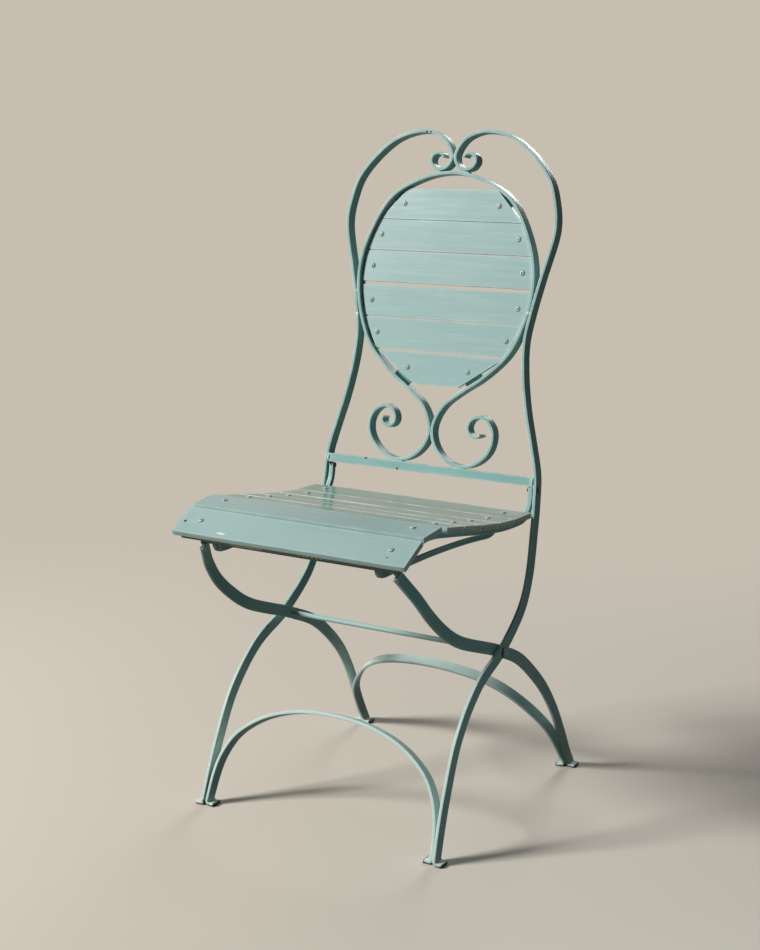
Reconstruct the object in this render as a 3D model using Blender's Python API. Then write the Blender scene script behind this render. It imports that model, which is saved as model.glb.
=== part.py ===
"""Folding garden chair: a painted flat-bar frame with a lyre back, and wooden boards for seat and back.

Metres, +Z up. The chair faces -Y, X is its width, and the floor is Z = 0.
Sizes along the depth are first written from the middle between the front and rear feet.
The whole chair is then moved by DEPTH_SHIFT, so that its origin is the middle of its footprint.
"""

import math
from itertools import pairwise

import bmesh
import bpy
from mathutils import Matrix, Vector

# Stock: the flat bars of the frame, and the lighter strip of the seat.
BAR_THICK = 0.005
BAR_DEEP = 0.0175
STRIP_THICK = 0.0052
STRIP_DEEP = 0.0078
GAP = 0.0003  # between pieces that touch on the real chair
RUNNING_GAP = 0.0003  # round a pin that turns in its hole

# Place of the chair over its origin: half the difference between its rear and front reach.
DEPTH_SHIFT = 0.0289

# Feet: each bar ends in a toe that is bent flat onto the floor.
FRONT_FOOT_Y = -0.2055
REAR_FOOT_Y = 0.2100
TOE_LENGTH = 0.0115
TOE_BEND = 0.005
FOOT_TWIST_HEIGHT = 0.045  # below this the bar turns square to the floor

# Side bars: width at the floor, and how far they lean in for each metre of height.
SIDE_X_AT_FLOOR = 0.1935
SIDE_LEAN = 0.0312
SIDE_LEG = [
    (-0.1915, 0.0485),
    (-0.1748, 0.0896),
    (-0.1420, 0.1534),
    (-0.0848, 0.2110),
    (-0.0131, 0.2456),
    (0.0458, 0.2904),
    (0.0679, 0.3267),
    (0.0869, 0.3963),
]

# Back: the plane of the bars' front edges leans back from the floor.
BACK_BASE_Y = 0.0175
BACK_TILT = math.radians(8.96)
SIDE_BACK_START_Z = 0.4376
# Centre of the side bar in the back plane, half width and height, up to the top lobe.
SIDE_BACK = [
    (0.1775, 0.4740),
    (0.1656, 0.5204),
    (0.1530, 0.5663),
    (0.1445, 0.6126),
    (0.1415, 0.6580),
]
SIDE_TOUCH_Z = 0.7060  # height where the side bar lies against the oval
SIDE_LOBE = [
    (0.1592, 0.7500),
    (0.1748, 0.8180),
    (0.1704, 0.8552),
    (0.1560, 0.8912),
    (0.1012, 0.9418),
    (0.0505, 0.9539),
    (0.0204, 0.9448),
    (0.0075, 0.9310),
]
LOBE_CONTACT_Z = 0.9180
# The small scroll, measured from the centre of its lowest point.
SMALL_SCROLL_BOTTOM_X = 0.0225
SMALL_SCROLL_IN = [(-0.0098, 0.0020), (-0.0172, 0.0092)]
SMALL_SCROLL_OUT = [(0.0095, 0.0030), (0.0148, 0.0117), (0.0120, 0.0202), (0.0035, 0.0231), (-0.0040, 0.0200)]

# Lyre bar, centre line on the right: the oval from its top down to the neck.
LYRE_TOP_Z = 0.8943
LYRE_FIRST_X = 0.004  # the bend's first section to the right of its top
LYRE_OVAL = [
    (0.0500, 0.8855),
    (0.1012, 0.8570),
    (0.1340, 0.8025),
    (0.1460, 0.7600),
    (0.1460, 0.7200),
    (0.1332, 0.6710),
    (0.1155, 0.6376),
    (0.0790, 0.6025),
    (0.0455, 0.5800),
    (0.0200, 0.5600),
    (0.0075, 0.5410),
]
NECK_Z = 0.5210
# The big scroll, measured from the centre of its lowest point.
BIG_SCROLL_BOTTOM_X = 0.0525
BIG_SCROLL_IN = [(-0.0180, 0.0040), (-0.0330, 0.0135), (-0.0445, 0.0280)]
BIG_SCROLL_OUT = [
    (0.0150, 0.0016),
    (0.0315, 0.0092),
    (0.0450, 0.0228),
    (0.0508, 0.0392),
    (0.0497, 0.0560),
    (0.0415, 0.0682),
    (0.0312, 0.0737),
    (0.0203, 0.0728),
    (0.0120, 0.0665),
    (0.0090, 0.0575),
    (0.0120, 0.0492),
    (0.0195, 0.0450),
    (0.0275, 0.0462),
]

# Cross rail under the big scrolls, set on edge in the back plane.
RAIL_TOP_Z = 0.4706
RAIL_HEIGHT = 0.013

# Front and rear arches: half the centre line, by half width and height.
FRONT_ARCH = [(0.1830, 0.0520), (0.1750, 0.0760), (0.1610, 0.0990), (0.1403, 0.1170), (0.1128, 0.1330),
              (0.0778, 0.1450), (0.0400, 0.1515)]
FRONT_ARCH_TOP_Z = 0.1535
FRONT_ARCH_TILT = math.radians(19.5)
FRONT_ARCH_TURN = math.radians(19.5)  # tilt of the bar's deep side
REAR_ARCH = [(0.1778, 0.0500), (0.1722, 0.0730), (0.1608, 0.0935), (0.1350, 0.1225), (0.1080, 0.1415),
             (0.0780, 0.1526), (0.0400, 0.1592)]
REAR_ARCH_TOP_Z = 0.1614
REAR_ARCH_TILT = math.radians(-33.2)
REAR_ARCH_TURN = math.radians(-20.0)

# Boards.
BOARD_THICK = 0.007
BOARD_ROUND = 0.0022
BACK_BOARD_SET_BACK = 0.0057
BACK_BOARD_HEIGHT = 0.0455
BACK_BOARDS_TOP_Z = 0.8712
BACK_BOARD_SPACES = [0.0004, 0.0014, 0.0052, 0.0016, 0.0030]  # heights between boards, from the top down
BACK_BOARD_END_GAP = 0.0005
LOWEST_BOARD_CUT = 0.01406  # its lower corners are cut this much shorter than the oval
BACK_BOARD_ROUND = 0.0012
BACK_SCREW_INSETS = [0.02632, 0.01522, 0.01759, 0.01658, 0.01482, 0.03145]  # from the oval's inner edge
LUG_WIDTH = 0.014
LUG_THICK = 0.003
LUG_PAST_SCREW = 0.0075
LUG_SEARCH_STEPS = 24  # how finely the bar is searched for the place nearest a screw
LUG_ROOT = 0.0015  # how far a lug runs into the bar that carries it

# Screws: dome head, shank, and the nut behind the lug.
SCREW_HEAD_RADIUS = 0.0044
SCREW_HEAD_HEIGHT = 0.0016
SCREW_RADIUS = 0.0018
SCREW_HOLE_RADIUS = 0.0022
NUT_RADIUS = 0.0034
NUT_HEIGHT = 0.0020
SCREW_TAIL = 0.0006

# Crossing of the leg frames.
LEG_PIVOT = (-0.0106, 0.2415)
PIVOT_ROD_RADIUS = 0.00375
PIVOT_HEAD_RADIUS = 0.0068
PIVOT_HEAD_HEIGHT = 0.0026
WASHER_RADIUS = 0.0085

# Rear leg bars: centre line by half width, depth and height, from the foot up.
REAR_FOOT_X = 0.1872
REAR_LEG = [
    (0.1864, 0.1990, 0.0250),
    (0.1846, 0.1785, 0.0680),
    (0.1822, 0.1550, 0.1110),
    (0.1798, 0.1280, 0.1480),
    (0.1780, 0.0970, 0.1785),
    (0.1768, 0.0520, 0.2130),
]
REAR_LEG_ABOVE = [
    (0.1748, -0.1200, 0.2830),
    (0.1740, -0.1585, 0.3070),
    (0.1730, -0.1935, 0.3365),
    (0.1680, -0.2190, 0.3665),
    (0.1600, -0.2355, 0.3880),
]
REAR_LEG_X_AT_PIVOT = 0.1762
REAR_LEG_TOP = (0.1553, 0.0001, 0.4003)  # depth measured from the sliding rod
EAR_X = 0.1550
EAR_RADIUS = 0.0055

# Sliding rod at the top of the rear legs.
ROD_BEHIND_GUIDE_FRONT = 0.0081
ROD_RADIUS = 0.0025
ROD_RIVET_RADIUS = 0.0036
ROD_RIVET_HEIGHT = 0.0014

# Seat: slope of the front board, from the lower front corner of its underside.
FRONT_BOARD_REACH = 0.04475  # its foot lies this far ahead of the second board's front edge
BOARD_FOOT_Z = 0.4159
BOARD_SLOPE = math.radians(31.0)
FRONT_BOARD_WIDTH = 0.0505
FRONT_BOARD_SCREW = 0.0270  # along the slope
TIE_START = 0.0020  # along the slope
TIE_WIDTH = 0.0310
TIE_THICK = 0.0053
# Seat rails: centre line behind the sloped front stretch, depth and height.
RAIL_X = 0.1708
SEAT_RAIL_THICK = 0.0074
RAIL_PAST_PIN = 0.0036
SLOPED_RAIL_END = 0.0440  # along the slope
SEAT_RAIL = [
    (-0.2080, 0.4419),
    (-0.1840, 0.4419),
    (-0.1500, 0.4369),
    (-0.1030, 0.4292),
    (-0.0540, 0.4208),
    (-0.0025, 0.4140),
    (0.0300, 0.4119),
    (0.0500, 0.4117),
    (0.0660, 0.4125),
    (0.0820, 0.4180),
    (0.0910, 0.4300),
    (0.0942, 0.4410),
]
SEAT_PIVOT = (0.0955, 0.4515)
SEAT_EYE_RADIUS = 0.0045
SEAT_PIN_RADIUS = 0.0024
SEAT_PIN_HEAD_RADIUS = 0.0045
SEAT_PIN_HEAD_HEIGHT = 0.0018

SEAT_BOARD_LENGTH = 0.3710
SEAT_BOARD_WIDTH = 0.0465
SEAT_REAR_Y = 0.06905  # rear edge of the last board
SEAT_BOARD_SPACE = 0.0020
SECOND_BOARD_SPACE = 0.0111
LEVEL_BOARD_COUNT = 5
SEAT_SCREW_X = 0.1520
SEAT_SCREW_OFFSET = 0.0020
SECOND_BOARD_SCREW_OFFSET = 0.0060

# Guide bars for the sliding rod: centre line, depth and height.
GUIDE_X = 0.1300
GUIDE_BEHIND_BOARD_FOOT = 0.0212
GUIDE_REAR_Y = 0.0650
GUIDE_REAR_BEND = 0.02  # length over which the guide turns up at its rear end
GUIDE_HOOK = [(0.0, 0.4080), (0.0026, 0.4010), (0.0096, 0.3975)]  # measured from the guide's front end
GUIDE = [
    (-0.1840, 0.3982),
    (-0.1240, 0.3986),
    (-0.0700, 0.3974),
    (-0.0140, 0.3947),
    (0.0150, 0.3924),
    (0.0440, 0.3903),
    (0.0570, 0.3930),
    (0.0640, 0.4010),
    (0.0650, 0.4060),
]

ROUND_SIDES = 12
ROD_SIDES = 16
HOLE_REACH = 0.01  # half the length of a hole's cutter
SHARP_FROM = math.radians(35.0)
STATION_TURN = math.radians(8.0)  # a swept bar gets a new section after this much bend
STATION_LONGEST = 0.06

BACK_BOARD_COUNT = len(BACK_BOARD_SPACES) + 1

# Depths that follow from the widths of the seat boards.
SEAT_BOARD_PITCH = SEAT_BOARD_WIDTH + SEAT_BOARD_SPACE
THIRD_BOARD_Y = SEAT_REAR_Y - SEAT_BOARD_WIDTH / 2 - (LEVEL_BOARD_COUNT - 1) * SEAT_BOARD_PITCH
SECOND_BOARD_Y = THIRD_BOARD_Y - SEAT_BOARD_WIDTH - SECOND_BOARD_SPACE
BOARD_FOOT_Y = SECOND_BOARD_Y - SEAT_BOARD_WIDTH / 2 - FRONT_BOARD_REACH
GUIDE_FRONT_Y = BOARD_FOOT_Y + GUIDE_BEHIND_BOARD_FOOT
ROD_Y = GUIDE_FRONT_Y + ROD_BEHIND_GUIDE_FRONT

PAINT = (0.43, 0.60, 0.57, 1.0)
BOARD_PAINT = (0.47, 0.64, 0.61, 1.0)
WORN_STEEL = (0.30, 0.24, 0.18, 1.0)


def back_point(half_width, height, depth=0.0):
    """A point at this height on the plane of the back's front edges, then this deep behind that plane."""
    on_plane = Vector((half_width, BACK_BASE_Y + math.tan(BACK_TILT) * height, height))
    return on_plane + BACK_NORMAL * depth


def side_x(height):
    """Half width between the side bars' centre lines below the back."""
    return SIDE_X_AT_FLOOR - SIDE_LEAN * height


def slope_point(along, above=0.0):
    """Depth and height of a point along the front board's underside, and this far above it."""
    return (
        BOARD_FOOT_Y + along * math.cos(BOARD_SLOPE) - above * math.sin(BOARD_SLOPE),
        BOARD_FOOT_Z + along * math.sin(BOARD_SLOPE) + above * math.cos(BOARD_SLOPE),
    )


BACK_NORMAL = Vector((0.0, math.cos(BACK_TILT), -math.sin(BACK_TILT)))
BACK_UP = Vector((0.0, math.sin(BACK_TILT), math.cos(BACK_TILT)))
SIDES = ((-1, "left"), (1, "right"))
ACROSS = Vector((1.0, 0.0, 0.0))
REARWARD = Vector((0.0, 1.0, 0.0))


def smooth(points):
    """Points along the smooth curve through the given points, closer together where it bends."""
    points = [Vector(point) for point in points]
    last = len(points) - 1
    knots = [0.0]
    for here, there in pairwise(points):
        knots.append(knots[-1] + math.sqrt((there - here).length))
    chords = [(points[i + 1] - points[i]) / (knots[i + 1] - knots[i]) for i in range(last)]
    slopes = []
    for i in range(1, last):
        share = (knots[i] - knots[i - 1]) / (knots[i + 1] - knots[i - 1])
        slopes.append(chords[i - 1] * (1 - share) + chords[i] * share)
    slopes.insert(0, chords[0] * 1.5 - slopes[0] * 0.5)
    slopes.append(chords[-1] * 1.5 - slopes[-1] * 0.5)
    fine = []
    for i in range(last):
        reach = knots[i + 1] - knots[i]
        steps = max(4, round((points[i + 1] - points[i]).length / 0.001))
        for step in range(steps):
            t = step / steps
            fine.append(
                points[i] * (2 * t**3 - 3 * t**2 + 1)
                + slopes[i] * reach * (t**3 - 2 * t**2 + t)
                + points[i + 1] * (3 * t**2 - 2 * t**3)
                + slopes[i + 1] * reach * (t**3 - t**2)
            )
    fine.append(points[-1])
    kept = [fine[0]]
    heading = fine[1] - fine[0]
    for before, here, after in zip(fine, fine[1:], fine[2:]):
        turned = heading.angle(after - before)
        if turned > STATION_TURN or (here - kept[-1]).length > STATION_LONGEST:
            kept.append(here)
            heading = after - before
    if (fine[-1] - kept[-1]).length < 0.002 and len(kept) > 1:
        kept.pop()
    kept.append(fine[-1])
    return kept


def tangents(stations):
    """The direction of travel at each station."""
    found = []
    for i, here in enumerate(stations):
        before = (here - stations[i - 1]).normalized() if i else None
        after = (stations[i + 1] - here).normalized() if i + 1 < len(stations) else None
        found.append(((before or after) + (after or before)).normalized())
    return found


def toe(foot, outward):
    """Stations of a toe that lies on the floor, from its tip to where the leg starts to rise."""
    floor_z = BAR_THICK / 2
    start = Vector((foot[0] + outward * TOE_LENGTH, foot[1], floor_z))
    stations = [start]
    steps = 4
    for step in range(steps + 1):
        angle = math.pi / 2 * step / steps
        x = foot[0] + outward * TOE_BEND * (1 - math.sin(angle))
        z = floor_z + TOE_BEND * (1 - math.cos(angle))
        stations.append(Vector((x, foot[1], z)))
    return stations


def settle(direction, height):
    """The direction of a bar's deep side, turned square to the floor near its foot."""
    share = min(1.0, max(0.0, (height - TOE_BEND) / (FOOT_TWIST_HEIGHT - TOE_BEND)))
    return (REARWARD * (1 - share) + direction * share).normalized()


# Scene.


def clear_scene():
    for obj in list(bpy.data.objects):
        bpy.data.objects.remove(obj, do_unlink=True)


def new_collection(name):
    made = bpy.data.collections.new(name)
    bpy.context.scene.collection.children.link(made)
    return made


def paint(name, colour, roughness, metallic):
    made = bpy.data.materials.new(name)
    made.use_nodes = True
    surface = made.node_tree.nodes["Principled BSDF"]
    surface.inputs["Base Color"].default_value = colour
    surface.inputs["Roughness"].default_value = roughness
    surface.inputs["Metallic"].default_value = metallic
    made.diffuse_color = colour
    return made


def new_empty(name, location, parent):
    made = bpy.data.objects.new(name, None)
    made.empty_display_size = 0.03
    made.location = location
    made.parent = parent
    PARTS.objects.link(made)
    return made


def add_object(name, bm, holder, look, cutter=False):
    """Makes the mesh an object whose origin is its holder's, which stands on the joint's axis."""
    bmesh.ops.recalc_face_normals(bm, faces=bm.faces)
    if bm.calc_volume(signed=True) < 0:
        bmesh.ops.reverse_faces(bm, faces=bm.faces)
    bmesh.ops.translate(bm, verts=bm.verts, vec=-holder.location)
    mesh = bpy.data.meshes.new(name)
    bm.to_mesh(mesh)
    bm.free()
    mesh.shade_smooth()
    mesh.set_sharp_from_angle(angle=SHARP_FROM)
    obj = bpy.data.objects.new(name, mesh)
    obj.parent = holder
    if cutter:
        obj.hide_render = True
        obj.display_type = "WIRE"
        CUTTERS.objects.link(obj)
    else:
        material = paint(name + "_paint", *look)
        mesh.materials.append(material)
        PARTS.objects.link(obj)
    return obj


def combine(obj, other, operation):
    modifier = obj.modifiers.new(operation.lower(), "BOOLEAN")
    modifier.operation = operation
    modifier.solver = "EXACT"
    modifier.object = other


# Shapes.


def bend_bar(stations, deep_sides, thick, deep):
    """A straight flat bar, bent so that its sections follow the stations."""
    bm = bmesh.new()
    bmesh.ops.create_cube(bm, size=1.0)
    long_edges = [e for e in bm.edges if abs(e.verts[0].co.x - e.verts[1].co.x) > 0.5]
    spans = len(stations) - 1
    bmesh.ops.subdivide_edges(bm, edges=long_edges, cuts=spans - 1, use_grid_fill=True)
    headings = tangents(stations)
    for vert in bm.verts:
        i = round((vert.co.x + 0.5) * spans)
        deep_side = deep_sides[i]
        thin_side = headings[i].cross(deep_side).normalized()
        sideways = math.copysign(thick / 2, vert.co.y)
        depth = math.copysign(deep / 2, vert.co.z)
        vert.co = stations[i] + thin_side * sideways + deep_side * depth
    return bm


def box(size, matrix):
    bm = bmesh.new()
    bmesh.ops.create_cube(bm, size=1.0, matrix=matrix @ Matrix.Diagonal((*size, 1.0)))
    return bm


def lying_cylinder(radius, x_from, x_to, y, z, sides=ROUND_SIDES):
    """A cylinder along X."""
    bm = bmesh.new()
    turn = Matrix.Rotation(math.pi / 2, 4, "Y")
    place = Matrix.Translation(((x_from + x_to) / 2, y, z))
    bmesh.ops.create_cone(
        bm, cap_ends=True, segments=sides, radius1=radius, radius2=radius,
        depth=abs(x_to - x_from), matrix=place @ turn,
    )
    return bm


def hole_through(x, radius, y, z):
    """Cutter for a hole through a bar that stands at this half width."""
    return lying_cylinder(radius, x - HOLE_REACH, x + HOLE_REACH, y, z)


def merged(shapes):
    """One mesh that holds all these separate shapes."""
    bm = bmesh.new()
    for shape in shapes:
        mesh = bpy.data.meshes.new("merge")
        shape.to_mesh(mesh)
        shape.free()
        bm.from_mesh(mesh)
        bpy.data.meshes.remove(mesh)
    return bm


def turned(profile, matrix, sides=ROUND_SIDES):
    """A profile of radius and height, turned about Z from its top to its foot, then placed."""
    bm = bmesh.new()
    verts = [bm.verts.new((radius, 0.0, height)) for radius, height in profile]
    edges = [bm.edges.new(pair) for pair in pairwise(verts)]
    bmesh.ops.spin(
        bm, geom=verts + edges, cent=(0, 0, 0), axis=(0, 0, 1), angle=2 * math.pi,
        steps=sides, use_merge=True, use_duplicate=False,
    )
    bmesh.ops.remove_doubles(bm, verts=bm.verts, dist=1e-6)
    bmesh.ops.transform(bm, matrix=matrix, verts=bm.verts)
    return bm


def dome(radius, height, steps=3):
    """Profile of a dome from its crown to its rim, whose foot lies at zero."""
    return [
        (radius * math.sin(math.pi / 2 * i / steps), height * math.cos(math.pi / 2 * i / steps))
        for i in range(steps + 1)
    ]


def upside_down(profile):
    return [(radius, -height) for radius, height in reversed(profile)]


def mirror_x(bm):
    bmesh.ops.transform(bm, matrix=Matrix.Scale(-1, 4, ACROSS), verts=bm.verts)
    return bm


def screw(plate_thick, matrix):
    """Dome head on the board's face at zero, shank down, and the nut behind the plate that carries it."""
    nut_top = -(BOARD_THICK + GAP + plate_thick + GAP)
    nut_foot = nut_top - NUT_HEIGHT
    profile = [(radius, height + GAP) for radius, height in dome(SCREW_HEAD_RADIUS, SCREW_HEAD_HEIGHT)]
    profile += [
        (SCREW_RADIUS, GAP),
        (SCREW_RADIUS, nut_top),
        (NUT_RADIUS, nut_top),
        (NUT_RADIUS, nut_foot),
        (SCREW_RADIUS, nut_foot),
        (SCREW_RADIUS, nut_foot - SCREW_TAIL),
        (0.0, nut_foot - SCREW_TAIL),
    ]
    return turned(profile, matrix)


def screw_hole(matrix):
    """Cutter for a screw's hole, from above the board to below its lug."""
    length = 2 * (BOARD_THICK + LUG_THICK)
    bm = bmesh.new()
    bmesh.ops.create_cone(
        bm, cap_ends=True, segments=ROUND_SIDES, radius1=SCREW_HOLE_RADIUS, radius2=SCREW_HOLE_RADIUS,
        depth=length, matrix=matrix @ Matrix.Translation((0, 0, -length / 4)),
    )
    return bm


# Long frame: side bars, lyre, cross rail, front arch.

STEEL = (PAINT, 0.45, 0.0)
WOOD = (BOARD_PAINT, 0.35, 0.0)
BARE = (WORN_STEEL, 0.6, 0.7)


def lyre_stations():
    """Centre line of the lyre bar's right half, from the top of the oval to the scroll's end."""
    neck_x = BAR_THICK / 2 + GAP / 2
    bottom_z = RAIL_TOP_Z + (GAP + BAR_THICK / 2) * math.cos(BACK_TILT)
    scroll = [(BIG_SCROLL_BOTTOM_X + x, bottom_z + z) for x, z in reversed(BIG_SCROLL_IN)]
    scroll.append((BIG_SCROLL_BOTTOM_X, bottom_z))
    scroll += [(BIG_SCROLL_BOTTOM_X + x, bottom_z + z) for x, z in BIG_SCROLL_OUT]
    route = LYRE_OVAL + [(neck_x, NECK_Z)] + scroll
    left_start = [(-x, z) for x, z in reversed(LYRE_OVAL[:1])]
    points = [back_point(x, z, BAR_DEEP / 2) for x, z in left_start + [(0.0, LYRE_TOP_Z)] + route]
    stations = smooth(points)
    first = next(i for i, station in enumerate(stations) if station.x > LYRE_FIRST_X)
    return stations[first:]


def lyre_bar():
    right = lyre_stations()
    top = back_point(0.0, LYRE_TOP_Z, BAR_DEEP / 2)
    left = [Vector((-s.x, s.y, s.z)) for s in reversed(right)]
    stations = left + [top] + right
    bar = bend_bar(stations, [BACK_NORMAL] * len(stations), BAR_THICK, BAR_DEEP)
    obj = add_object("lyre_bar", bar, FRAME, STEEL)
    lugs = []
    for row in range(BACK_BOARD_COUNT):
        for side in (-1, 1):
            lugs.append(back_lug(row, side))
    combine(obj, add_object("lyre_lugs", merged(lugs), FRAME, None, cutter=True), "UNION")
    holes = []
    for row in range(BACK_BOARD_COUNT):
        for side in (-1, 1):
            holes.append(screw_hole(back_screw_place(row, side)))
    combine(obj, add_object("lyre_holes", merged(holes), FRAME, None, cutter=True), "DIFFERENCE")


def inner_x(stations, height):
    """Half width between a bar and its mirror image at a height, along their front inner edges."""
    inner = []
    for here, heading in zip(stations, tangents(stations)):
        across = BACK_NORMAL.cross(heading).normalized()
        inward = across if across.x < 0 else -across
        inner.append(here - BACK_NORMAL * BAR_DEEP / 2 + inward * BAR_THICK / 2)
    crossings = []
    for a, b in pairwise(inner):
        if min(a.z, b.z) <= height < max(a.z, b.z):
            crossings.append(a.x + (b.x - a.x) * (height - a.z) / (b.z - a.z))
    return min(crossings)


def lyre_inner_x(height):
    """Half width inside the oval."""
    return inner_x(lyre_stations(), height)


def board_top(row):
    return BACK_BOARDS_TOP_Z - row * BACK_BOARD_HEIGHT - sum(BACK_BOARD_SPACES[:row])


def board_middle(row):
    return board_top(row) - BACK_BOARD_HEIGHT / 2


def back_screw_x(row):
    return lyre_inner_x(board_middle(row)) - BACK_SCREW_INSETS[row]


def back_screw_place(row, side):
    """Where a back screw enters its board: +Z of the matrix points out of the board's face."""
    where = back_point(side * back_screw_x(row), board_middle(row), BACK_BOARD_SET_BACK)
    axes = Matrix((ACROSS, BACK_UP, -BACK_NORMAL)).transposed()
    return Matrix.Translation(where) @ axes.to_4x4()


def back_lug(row, side):
    """A lug square to the oval, from inside the bar to just past the screw, behind the board."""
    screw_at = back_point(back_screw_x(row), board_middle(row), BAR_DEEP / 2)
    bar_at = min(lyre_stations_fine(), key=lambda point: (point - screw_at).length)
    reach = bar_at - screw_at
    out = reach.normalized()
    root = reach.length - BAR_THICK / 2 + LUG_ROOT
    depth = BACK_BOARD_SET_BACK + BOARD_THICK + GAP + LUG_THICK / 2 - BAR_DEEP / 2
    middle = screw_at + out * (root - LUG_PAST_SCREW) / 2 + BACK_NORMAL * depth
    axes = Matrix((out, BACK_NORMAL, out.cross(BACK_NORMAL))).transposed().to_4x4()
    size = (root + LUG_PAST_SCREW, LUG_THICK, LUG_WIDTH)
    lug = box(size, Matrix.Translation(middle) @ axes)
    return mirror_x(lug) if side < 0 else lug


def lyre_stations_fine():
    """The lyre bar's right half with a point every half millimetre or so."""
    found = []
    for here, there in pairwise(lyre_stations()):
        found += [here.lerp(there, i / LUG_SEARCH_STEPS) for i in range(LUG_SEARCH_STEPS)]
    return found


def side_bar_stations():
    """Centre line of the right side bar, from its toe up to the end of the small scroll."""
    lobe_x = BAR_THICK / 2 + GAP / 2
    scroll_z = LYRE_TOP_Z + BAR_THICK + GAP
    leg = [(side_x(z), y, z) for y, z in SIDE_LEG]
    foot = (side_x(0.0), FRONT_FOOT_Y)
    start = (foot[0], foot[1], BAR_THICK / 2 + TOE_BEND)
    scroll = [(SMALL_SCROLL_BOTTOM_X + x, scroll_z + z) for x, z in reversed(SMALL_SCROLL_IN)]
    scroll.append((SMALL_SCROLL_BOTTOM_X, scroll_z))
    scroll += [(SMALL_SCROLL_BOTTOM_X + x, scroll_z + z) for x, z in SMALL_SCROLL_OUT]
    back = [(side_x(SIDE_BACK_START_Z), SIDE_BACK_START_Z)] + SIDE_BACK
    back.append((lyre_outer_x(SIDE_TOUCH_Z) + BAR_THICK / 2 + GAP, SIDE_TOUCH_Z))
    back += SIDE_LOBE + [(lobe_x, LOBE_CONTACT_Z)] + scroll
    points = [start] + leg + [back_point(x, z, BAR_DEEP / 2) for x, z in back]
    rising = smooth(points)
    return toe(foot, 1)[:-1] + rising


def lyre_outer_x(height):
    return lyre_inner_x(height) + BAR_THICK


def side_bar(side, name):
    stations = side_bar_stations()
    headings = tangents(stations)
    deep_sides = []
    for here, heading in zip(stations, headings):
        if here.z > SIDE_BACK_START_Z:
            deep_sides.append(BACK_NORMAL)
        elif here.z < BAR_THICK / 2 + TOE_BEND * 0.99:
            deep_sides.append(REARWARD)
        else:
            deep_sides.append(settle(heading.cross(ACROSS).normalized(), here.z))
    bar = bend_bar(stations, deep_sides, BAR_THICK, BAR_DEEP)
    holes = merged([
        hole_through(side_x(LEG_PIVOT[1]), PIVOT_ROD_RADIUS + RUNNING_GAP, *LEG_PIVOT),
        hole_through(side_x(SEAT_PIVOT[1]), SEAT_PIN_RADIUS + RUNNING_GAP, *SEAT_PIVOT),
    ])
    if side < 0:
        mirror_x(bar)
        mirror_x(holes)
    obj = add_object(name, bar, FRAME, STEEL)
    combine(obj, add_object(name + "_holes", holes, FRAME, None, cutter=True), "DIFFERENCE")


def cross_rail():
    height = RAIL_HEIGHT * math.cos(BACK_TILT)
    bar = side_bar_stations()
    half_length = min(inner_x(bar, RAIL_TOP_Z), inner_x(bar, RAIL_TOP_Z - height)) - GAP
    where = back_point(0.0, RAIL_TOP_Z - height / 2, BAR_THICK / 2)
    axes = Matrix((ACROSS, BACK_NORMAL, BACK_UP)).transposed().to_4x4()
    rail = box((2 * half_length, BAR_THICK, RAIL_HEIGHT), Matrix.Translation(where) @ axes)
    add_object("cross_rail", rail, FRAME, STEEL)


def arch(half, top_z, tilt, turn, foot_x, foot_y):
    """A flat bar arched between two feet in a tilted plane, its toes turned in."""
    def on_plane(x, z):
        return (x, foot_y + math.tan(tilt) * z, z)

    rise_z = BAR_THICK / 2 + TOE_BEND
    right = [on_plane(foot_x, rise_z)] + [on_plane(x, z) for x, z in half]
    left = [(-x, y, z) for x, y, z in reversed(right)]
    stations = smooth(right + [on_plane(0.0, top_z)] + left)
    right_toe = [Vector((s.x, stations[0].y, s.z)) for s in toe((foot_x, foot_y), -1)]
    left_toe = [Vector((-s.x, s.y, s.z)) for s in reversed(right_toe)]
    stations = right_toe[:-1] + stations + left_toe[1:]
    normal = Vector((0.0, math.cos(turn), -math.sin(turn)))
    deep_sides = [settle(normal, s.z) for s in stations]
    return bend_bar(stations, deep_sides, BAR_THICK, BAR_DEEP)


def front_arch():
    foot_x = side_x(TOE_BEND + BAR_THICK / 2) - BAR_THICK - GAP
    bar = arch(FRONT_ARCH, FRONT_ARCH_TOP_Z, FRONT_ARCH_TILT, FRONT_ARCH_TURN, foot_x, FRONT_FOOT_Y)
    add_object("front_arch", bar, FRAME, STEEL)


def rear_arch():
    foot_x = REAR_FOOT_X - BAR_THICK - GAP
    bar = arch(REAR_ARCH, REAR_ARCH_TOP_Z, REAR_ARCH_TILT, REAR_ARCH_TURN, foot_x, REAR_FOOT_Y)
    add_object("rear_arch", bar, LEGS, STEEL)


# Back boards.


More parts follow.
